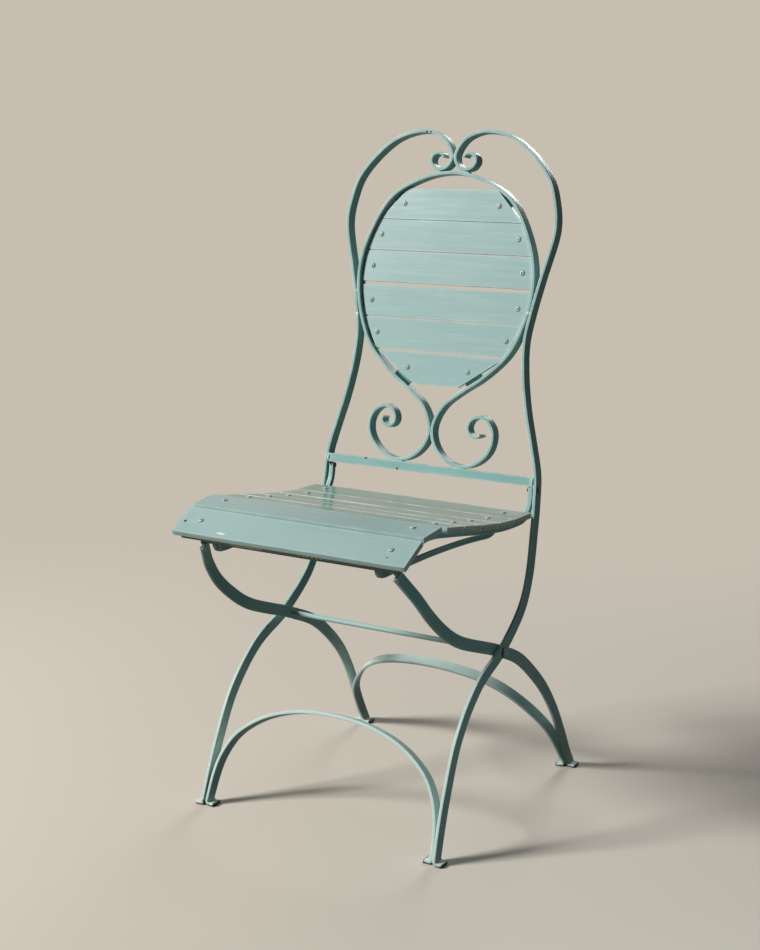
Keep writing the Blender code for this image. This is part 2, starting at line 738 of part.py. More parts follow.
def back_board(row):
    """A board whose ends follow the oval."""
    top = board_top(row)
    bottom = top - BACK_BOARD_HEIGHT
    top_x = lyre_inner_x(top) - BACK_BOARD_END_GAP
    bottom_x = lyre_inner_x(bottom) - BACK_BOARD_END_GAP
    if row == BACK_BOARD_COUNT - 1:
        bottom_x = lyre_inner_x(bottom) - LOWEST_BOARD_CUT
    middle = back_point(0.0, board_middle(row), BACK_BOARD_SET_BACK + BOARD_THICK / 2)
    axes = Matrix((ACROSS, BACK_NORMAL, BACK_UP)).transposed().to_4x4()
    height = BACK_BOARD_HEIGHT / math.cos(BACK_TILT)
    bm = bmesh.new()
    bmesh.ops.create_cube(bm, size=1.0)
    for vert in bm.verts:
        half = top_x if vert.co.z > 0 else bottom_x
        vert.co = (math.copysign(half, vert.co.x), vert.co.y * BOARD_THICK, vert.co.z * height)
    face_edges = [e for e in bm.edges if all(v.co.y < 0 for v in e.verts)]
    bmesh.ops.bevel(
        bm, geom=face_edges, offset=BACK_BOARD_ROUND, offset_type="OFFSET", segments=1,
        profile=0.5, affect="EDGES", material=-1,
    )
    bmesh.ops.transform(bm, matrix=Matrix.Translation(middle) @ axes, verts=bm.verts)
    name = f"back_board_{row + 1}"
    obj = add_object(name, bm, FRAME, WOOD)
    holes = [screw_hole(back_screw_place(row, side)) for side in (-1, 1)]
    combine(obj, add_object(name + "_holes", merged(holes), FRAME, None, cutter=True), "DIFFERENCE")
    for side, word in SIDES:
        shape = screw(LUG_THICK, back_screw_place(row, side))
        add_object(f"back_screw_{row + 1}_{word}", shape, FRAME, STEEL)


# Short frame: rear leg bars, rear arch, pivot rod.


def rear_leg_stations():
    foot = (REAR_FOOT_X, REAR_FOOT_Y)
    start = (foot[0], foot[1], BAR_THICK / 2 + TOE_BEND)
    pivot = (REAR_LEG_X_AT_PIVOT, *LEG_PIVOT)
    top = (REAR_LEG_TOP[0], ROD_Y + REAR_LEG_TOP[1], REAR_LEG_TOP[2])
    return toe(foot, 1)[:-1] + smooth([start] + REAR_LEG + [pivot] + REAR_LEG_ABOVE + [top])


def rear_leg(side, name):
    stations = rear_leg_stations()
    deep_sides = []
    for here, heading in zip(stations, tangents(stations)):
        if here.z < BAR_THICK / 2 + TOE_BEND * 0.99:
            deep_sides.append(REARWARD)
        else:
            deep_sides.append(settle(heading.cross(ACROSS).normalized(), here.z))
    bar = bend_bar(stations, deep_sides, BAR_THICK, BAR_DEEP)
    ear_from, ear_to = EAR_X - BAR_THICK / 2, EAR_X + BAR_THICK / 2
    ear = lying_cylinder(EAR_RADIUS, ear_from, ear_to, ROD_Y, rod_z(), ROD_SIDES)
    holes = merged([
        hole_through(REAR_LEG_X_AT_PIVOT, PIVOT_ROD_RADIUS + RUNNING_GAP, *LEG_PIVOT),
        hole_through(EAR_X, ROD_RADIUS + GAP, ROD_Y, rod_z()),
    ])
    if side < 0:
        mirror_x(bar)
        mirror_x(ear)
        mirror_x(holes)
    obj = add_object(name, bar, LEGS, STEEL)
    combine(obj, add_object(name + "_ear", ear, LEGS, None, cutter=True), "UNION")
    combine(obj, add_object(name + "_holes", holes, LEGS, None, cutter=True), "DIFFERENCE")


def along_x(x, y, z):
    """Stands a turned piece's axis along +X."""
    return Matrix.Translation((x, y, z)) @ Matrix.Rotation(math.pi / 2, 4, "Y")


def pivot_rod():
    """One rod through both frames, its ends hammered over into heads."""
    face = side_x(LEG_PIVOT[1]) + BAR_THICK / 2 + GAP
    head = [(radius, face + height) for radius, height in dome(PIVOT_HEAD_RADIUS, PIVOT_HEAD_HEIGHT)]
    profile = head + [(PIVOT_ROD_RADIUS, face)]
    profile += upside_down(profile)
    add_object("pivot_rod", turned(profile, along_x(0.0, *LEG_PIVOT)), LEGS, STEEL)


def pivot_washer(side, name):
    inner = REAR_LEG_X_AT_PIVOT + BAR_THICK / 2 + GAP * 2
    outer = side_x(LEG_PIVOT[1]) - BAR_THICK / 2 - GAP * 2
    bore = PIVOT_ROD_RADIUS + GAP
    profile = [(bore, outer), (WASHER_RADIUS, outer), (WASHER_RADIUS, inner), (bore, inner), (bore, outer)]
    shape = turned(profile, along_x(0.0, *LEG_PIVOT), ROD_SIDES)
    if side < 0:
        mirror_x(shape)
    add_object(name, shape, LEGS, STEEL)


def rod_rivet(side, name):
    """The rivet through an ear, whose head shows outside."""
    outer_face = EAR_X + BAR_THICK / 2 + GAP
    inner_end = EAR_X - BAR_THICK / 2 + GAP
    profile = [(radius, outer_face + height) for radius, height in dome(ROD_RIVET_RADIUS, ROD_RIVET_HEIGHT)]
    profile += [(ROD_RADIUS, outer_face), (ROD_RADIUS, inner_end), (0.0, inner_end)]
    shape = turned(profile, along_x(0.0, ROD_Y, rod_z()))
    if side < 0:
        mirror_x(shape)
    add_object(name, shape, LEGS, BARE)


def guide_top_z():
    """Highest point of the guide bars' tops along the rod's way."""
    stations = guide_stations()
    return max(s.z for s in stations if ROD_Y < s.y < GUIDE_REAR_Y - GUIDE_REAR_BEND) + STRIP_DEEP / 2


def rod_z():
    return guide_top_z() + GAP + ROD_RADIUS


def slide_rod():
    half_length = EAR_X - BAR_THICK / 2 - GAP
    shape = lying_cylinder(ROD_RADIUS, -half_length, half_length, ROD_Y, rod_z(), ROD_SIDES)
    add_object("slide_rod", shape, ROD, STEEL)


# Seat.


def seat_rail_stations():
    start = slope_point(TIE_START + TIE_WIDTH + GAP, -GAP - STRIP_DEEP / 2)
    end = slope_point(SLOPED_RAIL_END, -GAP - STRIP_DEEP / 2)
    rear_end = (SEAT_PIVOT[0], SEAT_PIVOT[1] + RAIL_PAST_PIN)
    route = [start, end] + SEAT_RAIL + [SEAT_PIVOT, rear_end]
    return smooth([(RAIL_X, y, z) for y, z in route])


def bed_points():
    """The line that the seat boards rest on: the top edge of the seat rails."""
    stations = seat_rail_stations()
    found = []
    for here, heading in zip(stations, tangents(stations)):
        top = here - heading.cross(ACROSS).normalized() * STRIP_DEEP / 2
        if not found or top.y > found[-1].y:
            found.append(top)
    return found


def bed_z(y):
    points = bed_points()
    for a, b in pairwise(points):
        if a.y <= y <= b.y:
            return a.z + (b.z - a.z) * (y - a.y) / (b.y - a.y)
    return points[0].z if y < points[0].y else points[-1].z


def seat_board_place(middle_y, width):
    """Middle of a board's underside, laid on the rails: +Z of the matrix is the board's upward normal."""
    front_y, rear_y = middle_y - width / 2, middle_y + width / 2
    tilt = math.atan2(bed_z(rear_y) - bed_z(front_y), width)
    up = Vector((0.0, -math.sin(tilt), math.cos(tilt)))
    middle = Vector((0.0, middle_y, (bed_z(front_y) + bed_z(rear_y)) / 2))
    rise = 0.0
    samples = 24
    for i in range(samples + 1):
        y = front_y + width * i / samples
        rise = max(rise, (Vector((0.0, y, bed_z(y))) - middle).dot(up))
    middle += up * (rise + GAP)
    return Matrix.Translation(middle) @ Matrix.Rotation(tilt, 4, "X")


def seat_board_places():
    """Name, place, width and screw's place along the width of each seat board, front to rear."""
    front_middle = Matrix.Translation((0.0, *slope_point(FRONT_BOARD_WIDTH / 2)))
    front = front_middle @ Matrix.Rotation(BOARD_SLOPE, 4, "X")
    found = [("front_board", front, FRONT_BOARD_WIDTH, FRONT_BOARD_SCREW - FRONT_BOARD_WIDTH / 2)]
    second = seat_board_place(SECOND_BOARD_Y, SEAT_BOARD_WIDTH)
    found.append(("seat_board_2", second, SEAT_BOARD_WIDTH, SECOND_BOARD_SCREW_OFFSET))
    for i in range(LEVEL_BOARD_COUNT):
        place = seat_board_place(THIRD_BOARD_Y + i * SEAT_BOARD_PITCH, SEAT_BOARD_WIDTH)
        found.append((f"seat_board_{i + 3}", place, SEAT_BOARD_WIDTH, SEAT_SCREW_OFFSET))
    return found


def seat_screw_place(place, offset, side):
    return place @ Matrix.Translation((side * SEAT_SCREW_X, offset, BOARD_THICK))


def seat_board(name, place, width, offset):
    bm = bmesh.new()
    bmesh.ops.create_cube(bm, size=1.0)
    bmesh.ops.transform(
        bm,
        matrix=Matrix.Translation((0, 0, BOARD_THICK / 2))
        @ Matrix.Diagonal((SEAT_BOARD_LENGTH, width, BOARD_THICK, 1.0)),
        verts=bm.verts,
    )
    top_edges = [e for e in bm.edges if all(v.co.z > BOARD_THICK / 2 for v in e.verts)]
    long_top = [e for e in top_edges if e.calc_length() > width]
    bmesh.ops.bevel(
        bm, geom=long_top, offset=BOARD_ROUND, offset_type="OFFSET", segments=3,
        profile=0.5, affect="EDGES", material=-1,
    )
    bmesh.ops.transform(bm, matrix=place, verts=bm.verts)
    obj = add_object(name, bm, SEAT, WOOD)
    holes = [screw_hole(seat_screw_place(place, offset, side)) for side in (-1, 1)]
    combine(obj, add_object(name + "_holes", merged(holes), SEAT, None, cutter=True), "DIFFERENCE")
    plate_thick = TIE_THICK if name == "front_board" else LUG_THICK
    for side, word in SIDES:
        shape = screw(plate_thick, seat_screw_place(place, offset, side))
        add_object(f"{name}_screw_{word}", shape, SEAT, STEEL)


def seat_lug(place, offset, side):
    """A lug under a board, from the rail to just past the screw."""
    inner = SEAT_SCREW_X - LUG_PAST_SCREW
    outer = RAIL_X - SEAT_RAIL_THICK / 2 + LUG_ROOT
    middle = Matrix.Translation((side * (inner + outer) / 2, offset, -GAP - LUG_THICK / 2))
    return box((outer - inner, LUG_WIDTH, LUG_THICK), place @ middle)


def seat_rail(side, name):
    stations = seat_rail_stations()
    deep_sides = [heading.cross(ACROSS).normalized() for heading in tangents(stations)]
    bar = bend_bar(stations, deep_sides, SEAT_RAIL_THICK, STRIP_DEEP)
    eye_from, eye_to = RAIL_X - SEAT_RAIL_THICK / 2, RAIL_X + SEAT_RAIL_THICK / 2
    eye = lying_cylinder(SEAT_EYE_RADIUS, eye_from, eye_to, *SEAT_PIVOT, ROD_SIDES)
    hole = hole_through(RAIL_X, SEAT_PIN_RADIUS + GAP, *SEAT_PIVOT)
    if side < 0:
        for shape in (bar, eye, hole):
            mirror_x(shape)
    # The front board is screwed into the tie bar, and every other board into a lug.
    others = seat_board_places()[1:]
    lugs = [seat_lug(place, offset, side) for _, place, _, offset in others]
    screw_holes = [
        screw_hole(seat_screw_place(place, offset, side)) for _, place, _, offset in others
    ]
    obj = add_object(name, bar, SEAT, STEEL)
    joined = add_object(name + "_eye_and_lugs", merged([eye] + lugs), SEAT, None, cutter=True)
    combine(obj, joined, "UNION")
    holes = add_object(name + "_holes", merged([hole] + screw_holes), SEAT, None, cutter=True)
    combine(obj, holes, "DIFFERENCE")


def seat_tie_bar():
    _, place, width, offset = seat_board_places()[0]
    middle_y, middle_z = slope_point(TIE_START + TIE_WIDTH / 2, -GAP - TIE_THICK / 2)
    half_length = RAIL_X + SEAT_RAIL_THICK / 2
    matrix = Matrix.Translation((0.0, middle_y, middle_z)) @ Matrix.Rotation(BOARD_SLOPE, 4, "X")
    obj = add_object("seat_tie_bar", box((2 * half_length, TIE_WIDTH, TIE_THICK), matrix), SEAT, STEEL)
    holes = [screw_hole(seat_screw_place(place, offset, side)) for side in (-1, 1)]
    combine(obj, add_object("seat_tie_bar_holes", merged(holes), SEAT, None, cutter=True), "DIFFERENCE")


def guide_stations():
    front_top = slope_point(TIE_START + TIE_WIDTH, -GAP - TIE_THICK)
    front_low = slope_point(TIE_START, -GAP - TIE_THICK)
    share = (GUIDE_FRONT_Y - STRIP_DEEP / 2 - front_low[0]) / (front_top[0] - front_low[0])
    under_tie_z = front_low[1] + share * (front_top[1] - front_low[1]) - GAP
    under_board_z = seat_board_under_z(GUIDE_REAR_Y) - GAP
    hook = [(GUIDE_FRONT_Y + behind, z) for behind, z in GUIDE_HOOK]
    route = [(GUIDE_FRONT_Y, under_tie_z)] + hook + GUIDE + [(GUIDE_REAR_Y, under_board_z)]
    return smooth([(GUIDE_X, y, z) for y, z in route])


def seat_board_under_z(y):
    """Height of the last board's underside over a point near its rear edge."""
    _, place, _, _ = seat_board_places()[-1]
    middle = place.translation
    tilt = place.to_euler().x
    return middle.z + math.tan(tilt) * (y - middle.y) - abs(math.tan(tilt)) * STRIP_DEEP / 2


def guide(side, name):
    stations = guide_stations()
    deep_sides = [heading.cross(ACROSS).normalized() for heading in tangents(stations)]
    bar = bend_bar(stations, deep_sides, STRIP_THICK, STRIP_DEEP)
    if side < 0:
        mirror_x(bar)
    add_object(name, bar, SEAT, STEEL)


def seat_pin(side, name):
    """Pin through the seat rail's eye and the side bar, with a collar between them."""
    inner_face = RAIL_X - SEAT_RAIL_THICK / 2 - GAP
    collar_in = RAIL_X + SEAT_RAIL_THICK / 2 + GAP
    bar_x = side_x(SEAT_PIVOT[1])
    collar_out = bar_x - BAR_THICK / 2 - GAP * 2
    outer_face = bar_x + BAR_THICK / 2 + GAP * 2
    head = dome(SEAT_PIN_HEAD_RADIUS, SEAT_PIN_HEAD_HEIGHT)
    outer = [(radius, outer_face + height) for radius, height in head]
    inner = [(radius, inner_face - height) for radius, height in reversed(head)]
    profile = outer + [
        (SEAT_PIN_RADIUS, outer_face),
        (SEAT_PIN_RADIUS, collar_out),
        (SEAT_PIN_HEAD_RADIUS, collar_out),
        (SEAT_PIN_HEAD_RADIUS, collar_in),
        (SEAT_PIN_RADIUS, collar_in),
        (SEAT_PIN_RADIUS, inner_face),
    ] + inner
    shape = turned(profile, along_x(0.0, *SEAT_PIVOT))
    if side < 0:
        mirror_x(shape)
    add_object(name, shape, SEAT, BARE)


# Assembly.

clear_scene()
PARTS = new_collection("garden_chair")
CUTTERS = new_collection("cutters")
CUTTERS.hide_render = True

CHAIR = new_empty("chair_origin", (0.0, DEPTH_SHIFT, 0.0), None)
FRAME = new_empty("long_frame", (0.0, 0.0, 0.0), CHAIR)
LEGS = new_empty("leg_fold_axis", (0.0, *LEG_PIVOT), CHAIR)
SEAT = new_empty("seat_fold_axis", (0.0, *SEAT_PIVOT), CHAIR)
ROD = new_empty("rod_slide", (0.0, ROD_Y, rod_z()), CHAIR)

for side, word in SIDES:
    side_bar(side, f"side_bar_{word}")
    rear_leg(side, f"rear_leg_{word}")
    pivot_washer(side, f"pivot_washer_{word}")
    rod_rivet(side, f"rod_rivet_{word}")
    seat_rail(side, f"seat_rail_{word}")
    guide(side, f"guide_{word}")
    seat_pin(side, f"seat_pin_{word}")
lyre_bar()
cross_rail()
front_arch()
rear_arch()
for row in range(BACK_BOARD_COUNT):
    back_board(row)
pivot_rod()
slide_rod()
seat_tie_bar()
for board in seat_board_places():
    seat_board(*board)
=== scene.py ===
# %% [markdown]
# # A folding garden chair in old paint
# The real chair is a blacksmith's piece: flat steel bar, bent cold round formers and welded or
# riveted, with plain wooden boards screwed to it. It has been painted many times.
# The chair's solids give every size and place, and this lesson dresses them. Each bar is bent
# again with rounded corners, because a painted bar never has a sharp edge. Then comes old paint.

# %% Load the frame
import math
from functools import partial
from itertools import pairwise

import bmesh
import bpy
from mathutils import Matrix, Vector, noise


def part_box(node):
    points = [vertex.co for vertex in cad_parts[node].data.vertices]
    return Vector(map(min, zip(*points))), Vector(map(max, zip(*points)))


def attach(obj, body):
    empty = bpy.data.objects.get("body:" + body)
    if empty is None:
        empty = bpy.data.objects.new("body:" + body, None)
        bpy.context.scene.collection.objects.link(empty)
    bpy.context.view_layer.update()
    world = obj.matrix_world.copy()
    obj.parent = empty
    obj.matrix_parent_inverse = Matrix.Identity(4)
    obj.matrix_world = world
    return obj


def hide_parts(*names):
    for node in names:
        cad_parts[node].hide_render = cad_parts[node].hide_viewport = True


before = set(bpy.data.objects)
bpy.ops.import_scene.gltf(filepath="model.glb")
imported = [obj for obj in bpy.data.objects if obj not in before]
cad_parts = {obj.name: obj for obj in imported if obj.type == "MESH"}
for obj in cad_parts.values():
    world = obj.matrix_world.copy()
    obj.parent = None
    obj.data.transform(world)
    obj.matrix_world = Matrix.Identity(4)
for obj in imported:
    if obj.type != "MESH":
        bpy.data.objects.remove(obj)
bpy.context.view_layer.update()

# %% [markdown]
# ## Camera and light
# The camera stands where the picture was taken from: to the right of the chair, a little above
# the seat. A long lens keeps the legs nearly upright. The main light is a soft window from the
# front left. A weaker one behind keeps the back of the chair readable, and a faint cool fill
# close on the right leaves the faces that turn away a deep green.

# %% Camera
BACK_SHIFT = 0.0289  # the routes below are measured from the middle between the feet


def linked(name, data):
    made = bpy.data.objects.new(name, data)
    bpy.context.scene.collection.objects.link(made)
    return made


camera = linked("camera", bpy.data.cameras.new("camera"))
camera.location = (1.2372, -2.0072 + BACK_SHIFT, 0.9641)
camera.rotation_euler = (math.pi / 2 - 0.2061, 0.0, 0.5612)
camera.data.lens = 63.68
camera.data.sensor_width = 36.0
bpy.context.scene.camera = camera


# %% Lamps
def softbox(name, place, aim, size, power, colour=(1.0, 1.0, 1.0)):
    lamp = bpy.data.lights.new(name, "AREA")
    lamp.shape = "SQUARE"
    lamp.size = size
    lamp.energy = power
    lamp.color = colour
    stand = linked(name, lamp)
    stand.location = place
    stand.rotation_euler = (Vector(aim) - Vector(place)).to_track_quat("-Z", "Y").to_euler()
    stand.visible_camera = False


CHAIR_MIDDLE = (0.0, 0.0, 0.55)
softbox("window", (-3.30, -3.15, 2.90), CHAIR_MIDDLE, size=1.2, power=365.0, colour=(1.0, 0.985, 0.965))
softbox("behind", (-0.6, 3.4, 1.90), CHAIR_MIDDLE, size=1.2, power=42.0)
softbox("fill", (0.80, -0.40, 0.40), (0.2, -0.05, 0.30), size=0.5, power=0.48, colour=(0.55, 0.92, 1.0))


# %% [markdown]
# ## Shader helpers
# A material here is a small tree of nodes, and these helpers keep the trees readable. Two of
# them add a node and feed its inputs, each with a plain value or a link. The others make one
# common step each: a calculation, a blend of two colours, a noise, or a soft step from 0 to 1
# between two values, which is how a mask for worn paint is cut out of a noise.

# %% Node helpers
def feed(tree, node, sources):
    for key, source in sources.items():
        if isinstance(source, (int, float, tuple)):
            node.inputs[key].default_value = source
        else:
            tree.links.new(source, node.inputs[key])


def add(tree, kind, sources=None, **settings):
    node = tree.nodes.new("ShaderNode" + kind)
    for key, value in settings.items():
        setattr(node, key, value)
    feed(tree, node, sources or {})
    return node


def calc(tree, operation, first, second=0.0, third=0.0):
    return add(tree, "Math", {0: first, 1: second, 2: third}, operation=operation).outputs[0]


def soft_step(tree, value, low, high):
    sources = {"Value": value, "From Min": low, "From Max": high}
    return add(tree, "MapRange", sources, interpolation_type="SMOOTHSTEP").outputs["Result"]


def blend(tree, share, first, second):
    sources = {"Factor": share, "A": first, "B": second}
    return add(tree, "Mix", sources, data_type="RGBA").outputs["Result"]


def mottle(tree, where, scale, detail=3.0, rough=0.55):
    sources = {"Vector": where, "Scale": scale, "Detail": detail, "Roughness": rough}
    return add(tree, "TexNoise", sources).outputs["Fac"]


def stretched(tree, where, scale):
    return add(tree, "Mapping", {"Vector": where, "Scale": scale}).outputs["Vector"]


# %% [markdown]
# ## The age of the paint
# Steel and wood have aged in the same ways, so one node group serves both. It reads two things
# that every piece carries: "grain", the place along the straight stock before it was bent, so
# that brush strokes follow each bend, and "edge", which is 1 where a corner was rounded over.
# Boards and screws carry a third value too, for dirt and for painted shade in the gaps between
# back boards, on board ends and in the hollows of screw heads. Paint is paler on corners and low
# on the legs, partly wear and partly painted highlight. It chips off in small flakes and rusts
# close to the floor. Single knocks come in from outside the group, as two more masks.

# %% Old paint group
BROAD_STROKE = (9.0, 210.0, 210.0)  # brush marks per metre, along and across the stock
FINE_STROKE = (30.0, 700.0, 700.0)


def old_paint_group():
    group = bpy.data.node_groups.new("old_paint", "ShaderNodeTree")

    def socket(name, way, kind, value=None):
        made = group.interface.new_socket(name=name, in_out=way, socket_type="NodeSocket" + kind)
        if value is not None:
            made.default_value = value

    white = (1.0, 1.0, 1.0, 1.0)
    for name in ("Paint", "Shade", "Pale", "Under", "Rust", "Grime and shade"):
        socket(name, "INPUT", "Color", white)
    for name in ("Edge wear and highlight", "Low wear and highlight", "Chips", "Rust amount", "Strokes", "Gloss", "Bared", "Rusted"):
        socket(name, "INPUT", "Float", 0.0)
    socket("Color", "OUTPUT", "Color")
    socket("Roughness", "OUTPUT", "Float")
    socket("Height", "OUTPUT", "Float")

    given = group.nodes.new("NodeGroupInput").outputs
    times = partial(calc, group, "MULTIPLY")
    times_plus = partial(calc, group, "MULTIPLY_ADD")
    larger = partial(calc, group, "MAXIMUM")
    step = partial(soft_step, group)
    noisy = partial(mottle, group)
    over = partial(blend, group)

    def centred(value):
        return calc(group, "SUBTRACT", value, 0.5)

    grain = add(group, "Attribute", attribute_name="grain").outputs["Vector"]
    edge = add(group, "Attribute", attribute_name="edge").outputs["Fac"]
    grime_and_shade = add(group, "Attribute", attribute_name="grime_and_shade").outputs["Fac"]
    place = add(group, "TexCoord").outputs["Object"]
    depth = times(add(group, "SeparateXYZ", {0: place}).outputs["Z"], -1.0)
    near_floor = step(depth, -0.022, -0.008)
    low = step(depth, -0.34, -0.13)
    wet = step(depth, -0.0034, -0.0012)

    clouds = step(noisy(place, 7.0, 4.0), 0.38, 0.66)
    strokes = noisy(stretched(group, grain, BROAD_STROKE), 1.0, 4.0, 0.6)
    fine_strokes = noisy(stretched(group, grain, FINE_STROKE), 1.0, 2.0, 0.5)
    patchy = noisy(place, 34.0, 3.0)
    flakes = noisy(place, 190.0, 4.0, 0.62)
    clusters = noisy(place, 15.0, 2.0)

    base = over(times(clouds, 0.55), given["Paint"], given["Shade"])
    stroke_tone = times(centred(strokes), given["Strokes"])
    base = over(larger(stroke_tone, 0.0), base, given["Pale"])
    base = over(larger(times(stroke_tone, -1.0), 0.0), base, given["Shade"])

    # Paler on corners and low on the legs: partly wear, partly painted highlight.
    rubbed_and_highlit = times(times(times_plus(step(patchy, 0.38, 0.60), 0.65, 0.35), edge), given["Edge wear and highlight"])
    low_wear_and_highlight = times(times_plus(patchy, 0.5, 0.5), given["Low wear and highlight"])
    pale_wear_and_highlight = larger(rubbed_and_highlit, times(low, low_wear_and_highlight))
    colour = over(pale_wear_and_highlight, base, given["Pale"])

    lift = times_plus(edge, 0.055, flakes)
    lift = times_plus(near_floor, 0.16, lift)
    lift = times_plus(centred(clusters), 0.22, lift)
    lift = times_plus(centred(given["Chips"]), 0.12, lift)
    chip = larger(step(lift, 0.715, 0.735), given["Bared"])
    colour = over(chip, colour, given["Under"])
    rust_lift = times_plus(centred(given["Rust amount"]), 0.12, lift)
    rust_lift = times_plus(near_floor, -0.115, rust_lift)
    rust_lift = times_plus(wet, 0.32, rust_lift)
    rust = larger(step(rust_lift, 0.745, 0.775), given["Rusted"])
    colour = over(rust, colour, given["Rust"])
    # Darker in gaps and hollows: dirt, and painted shade.
    dirt_and_shade = times(grime_and_shade, step(patchy, 0.20, 0.45))
    colour = over(dirt_and_shade, colour, given["Grime and shade"])

    rough = times_plus(clouds, 0.10, given["Gloss"])
    rough = times_plus(centred(strokes), 0.18, rough)
    for mask, roughened in ((pale_wear_and_highlight, 0.12), (chip, 0.35), (dirt_and_shade, 0.40)):
        rough = times_plus(mask, roughened, rough)

    height = times(strokes, 0.35)
    for mask, raised in ((fine_strokes, 0.12), (chip, -0.55), (rust, 0.25)):
        height = times_plus(mask, raised, height)

    out = group.nodes.new("NodeGroupOutput")
    feed(group, out, {"Color": colour, "Roughness": rough, "Height": height})
    return group


OLD_PAINT = old_paint_group()


# %% Painted finishes
# Colour of dirt, and of painted shade in gaps and hollows.
GRIME_AND_SHADE = (0.018, 0.020, 0.014)
RAGGED = 0.0024  # how far the rim of a knock strays


def knocks(tree, spots):
    """A mask of small ragged spots, each given by its place on the chair and its reach."""
    place = add(tree, "TexCoord").outputs["Object"]
    ragged = calc(tree, "MULTIPLY_ADD", mottle(tree, place, 500.0, 2.0), RAGGED, -RAGGED / 2)
    mask = 0.0
    for *spot, reach in spots:
        sources = {0: place, 1: tuple(spot)}
        distance = add(tree, "VectorMath", sources, operation="DISTANCE").outputs["Value"]
        nearness = calc(tree, "SUBTRACT", reach, calc(tree, "ADD", distance, ragged))
        mask = calc(tree, "MAXIMUM", mask, soft_step(tree, nearness, 0.0, 0.0005))
    return mask


def painted(name, paint, shade, pale_wear_and_highlight, under, rust, wear, chips, rusty, strokes, gloss, relief, shine,
            low_wear_and_highlight=0.0, bared=(), rusted=()):
    """A finish of old paint; relief is the depth of its brush marks and chips in metres."""
    finish = bpy.data.materials.new(name)
    finish.use_nodes = True
    tree = finish.node_tree
    surface = tree.nodes["Principled BSDF"]
    colours = {"Paint": paint, "Shade": shade, "Pale": pale_wear_and_highlight, "Under": under, "Rust": rust, "Grime and shade": GRIME_AND_SHADE}
    amounts = {"Edge wear and highlight": wear, "Low wear and highlight": low_wear_and_highlight, "Chips": chips, "Rust amount": rusty,
               "Strokes": strokes, "Gloss": gloss}
    spots = {"Bared": knocks(tree, bared), "Rusted": knocks(tree, rusted)}
    sources = {key: (*value, 1.0) for key, value in colours.items()} | amounts | spots
    aged = add(tree, "Group", sources, node_tree=OLD_PAINT).outputs
    bump = add(tree, "Bump", {"Distance": relief, "Strength": 1.0, "Height": aged["Height"]})
    feed(tree, surface, {"Base Color": aged["Color"], "Roughness": aged["Roughness"],
                         "Normal": bump.outputs["Normal"], "Specular IOR Level": shine})
    finish.diffuse_color = (*paint, 1.0)
    return finish


TEAL = (0.270, 0.450, 0.430)
DEEP_TEAL = (0.205, 0.375, 0.360)
# Pale paint where the frame is worn, which also stands in for painted highlights on its corners and lower
# legs.
PALE_TEAL = (0.660, 0.790, 0.740)
OLD_WHITE = (0.72, 0.74, 0.68)
DARK_RUST = (0.085, 0.040, 0.018)
DARK_WOOD = (0.05, 0.03, 0.015)
OCHRE = (0.66, 0.60, 0.34)
OLIVE = (0.15, 0.19, 0.13)

# Single marks: the place of each on the chair, and its reach
KNOCKED_STEEL = [(-0.1492, 0.1617, 0.7174, 0.0030), (-0.1445, 0.1542, 0.6835, 0.0026),
                 (0.1440, 0.1568, 0.7002, 0.0030), (0.1745, 0.0539, 0.4118, 0.0030),
                 (-0.1842, -0.0413, 0.2186, 0.0016), (-0.1556, -0.2168, 0.3994, 0.0030),
                 (-0.1549, -0.2146, 0.3920, 0.0026), (0.1557, -0.2196, 0.3974, 0.0028),
                 (0.1587, -0.2197, 0.3939, 0.0026), (-0.1274, -0.2166, 0.3976, 0.0022)]
RUSTED_STEEL = [(-0.1072, 0.1205, 0.4701, 0.0024), (-0.0511, 0.1188, 0.4595, 0.0022),
                (-0.0483, 0.1966, 0.9528, 0.0018), (-0.0414, 0.1966, 0.9524, 0.0018),
                (-0.1840, -0.0324, 0.2318, 0.0022), (-0.1708, 0.1215, 0.4550, 0.0034),
                (0.1888, 0.0124, 0.2478, 0.0026), (0.1888, 0.0104, 0.2440, 0.0026),
                (0.1888, 0.0100, 0.2400, 0.0026), (0.1888, 0.0120, 0.2362, 0.0026)]
KNOCKED_BOARDS = [(-0.1115, -0.2407, 0.4266, 0.0022), (-0.1085, -0.2409, 0.4266, 0.0024),
                  (-0.1055, -0.2411, 0.4264, 0.0022), (-0.1025, -0.2413, 0.4262, 0.0024),
                  (-0.0226, 0.0531, 0.4241, 0.0022), (0.0252, 0.0528, 0.4240, 0.0022),
                  (0.0625, -0.0737, 0.4404, 0.0020)]
NAIL_HOLES = [(-0.1756, -0.2296, 0.4332, 0.0026), (0.1533, -0.2374, 0.4285, 0.0013),
              (0.1434, -0.2288, 0.4338, 0.0010)]
TIE_FRONT = (-0.2420, 0.4147)
OCHRE_PATCHES = [(-0.088 + 0.004 * i, *TIE_FRONT, 0.0026 + 0.0006 * (i % 3)) for i in range(13)]
OCHRE_PATCHES += [(0.020 + 0.007 * i, *TIE_FRONT, 0.0022) for i in range(6)]

# The frame's pale corners and lower legs are partly wear and partly painted highlight.
frame_paint = painted("frame_paint", TEAL, DEEP_TEAL, PALE_TEAL, OLD_WHITE, DARK_RUST,
                      wear=0.45, low_wear_and_highlight=0.85, chips=0.42, rusty=0.50, strokes=0.40, gloss=0.26,
                      relief=0.00018, shine=0.04, bared=KNOCKED_STEEL, rusted=RUSTED_STEEL)
ON_WOOD = {"wear": 0.80, "chips": 0.34, "rusty": 0.10, "strokes": 0.24, "gloss": 0.20,
           "relief": 0.00014, "bared": KNOCKED_BOARDS, "rusted": NAIL_HOLES}
board_paint = painted("board_paint", (0.335, 0.482, 0.472), (0.280, 0.425, 0.415), (0.60, 0.75, 0.72),
                      OLD_WHITE, DARK_WOOD, shine=0.42, **ON_WOOD)
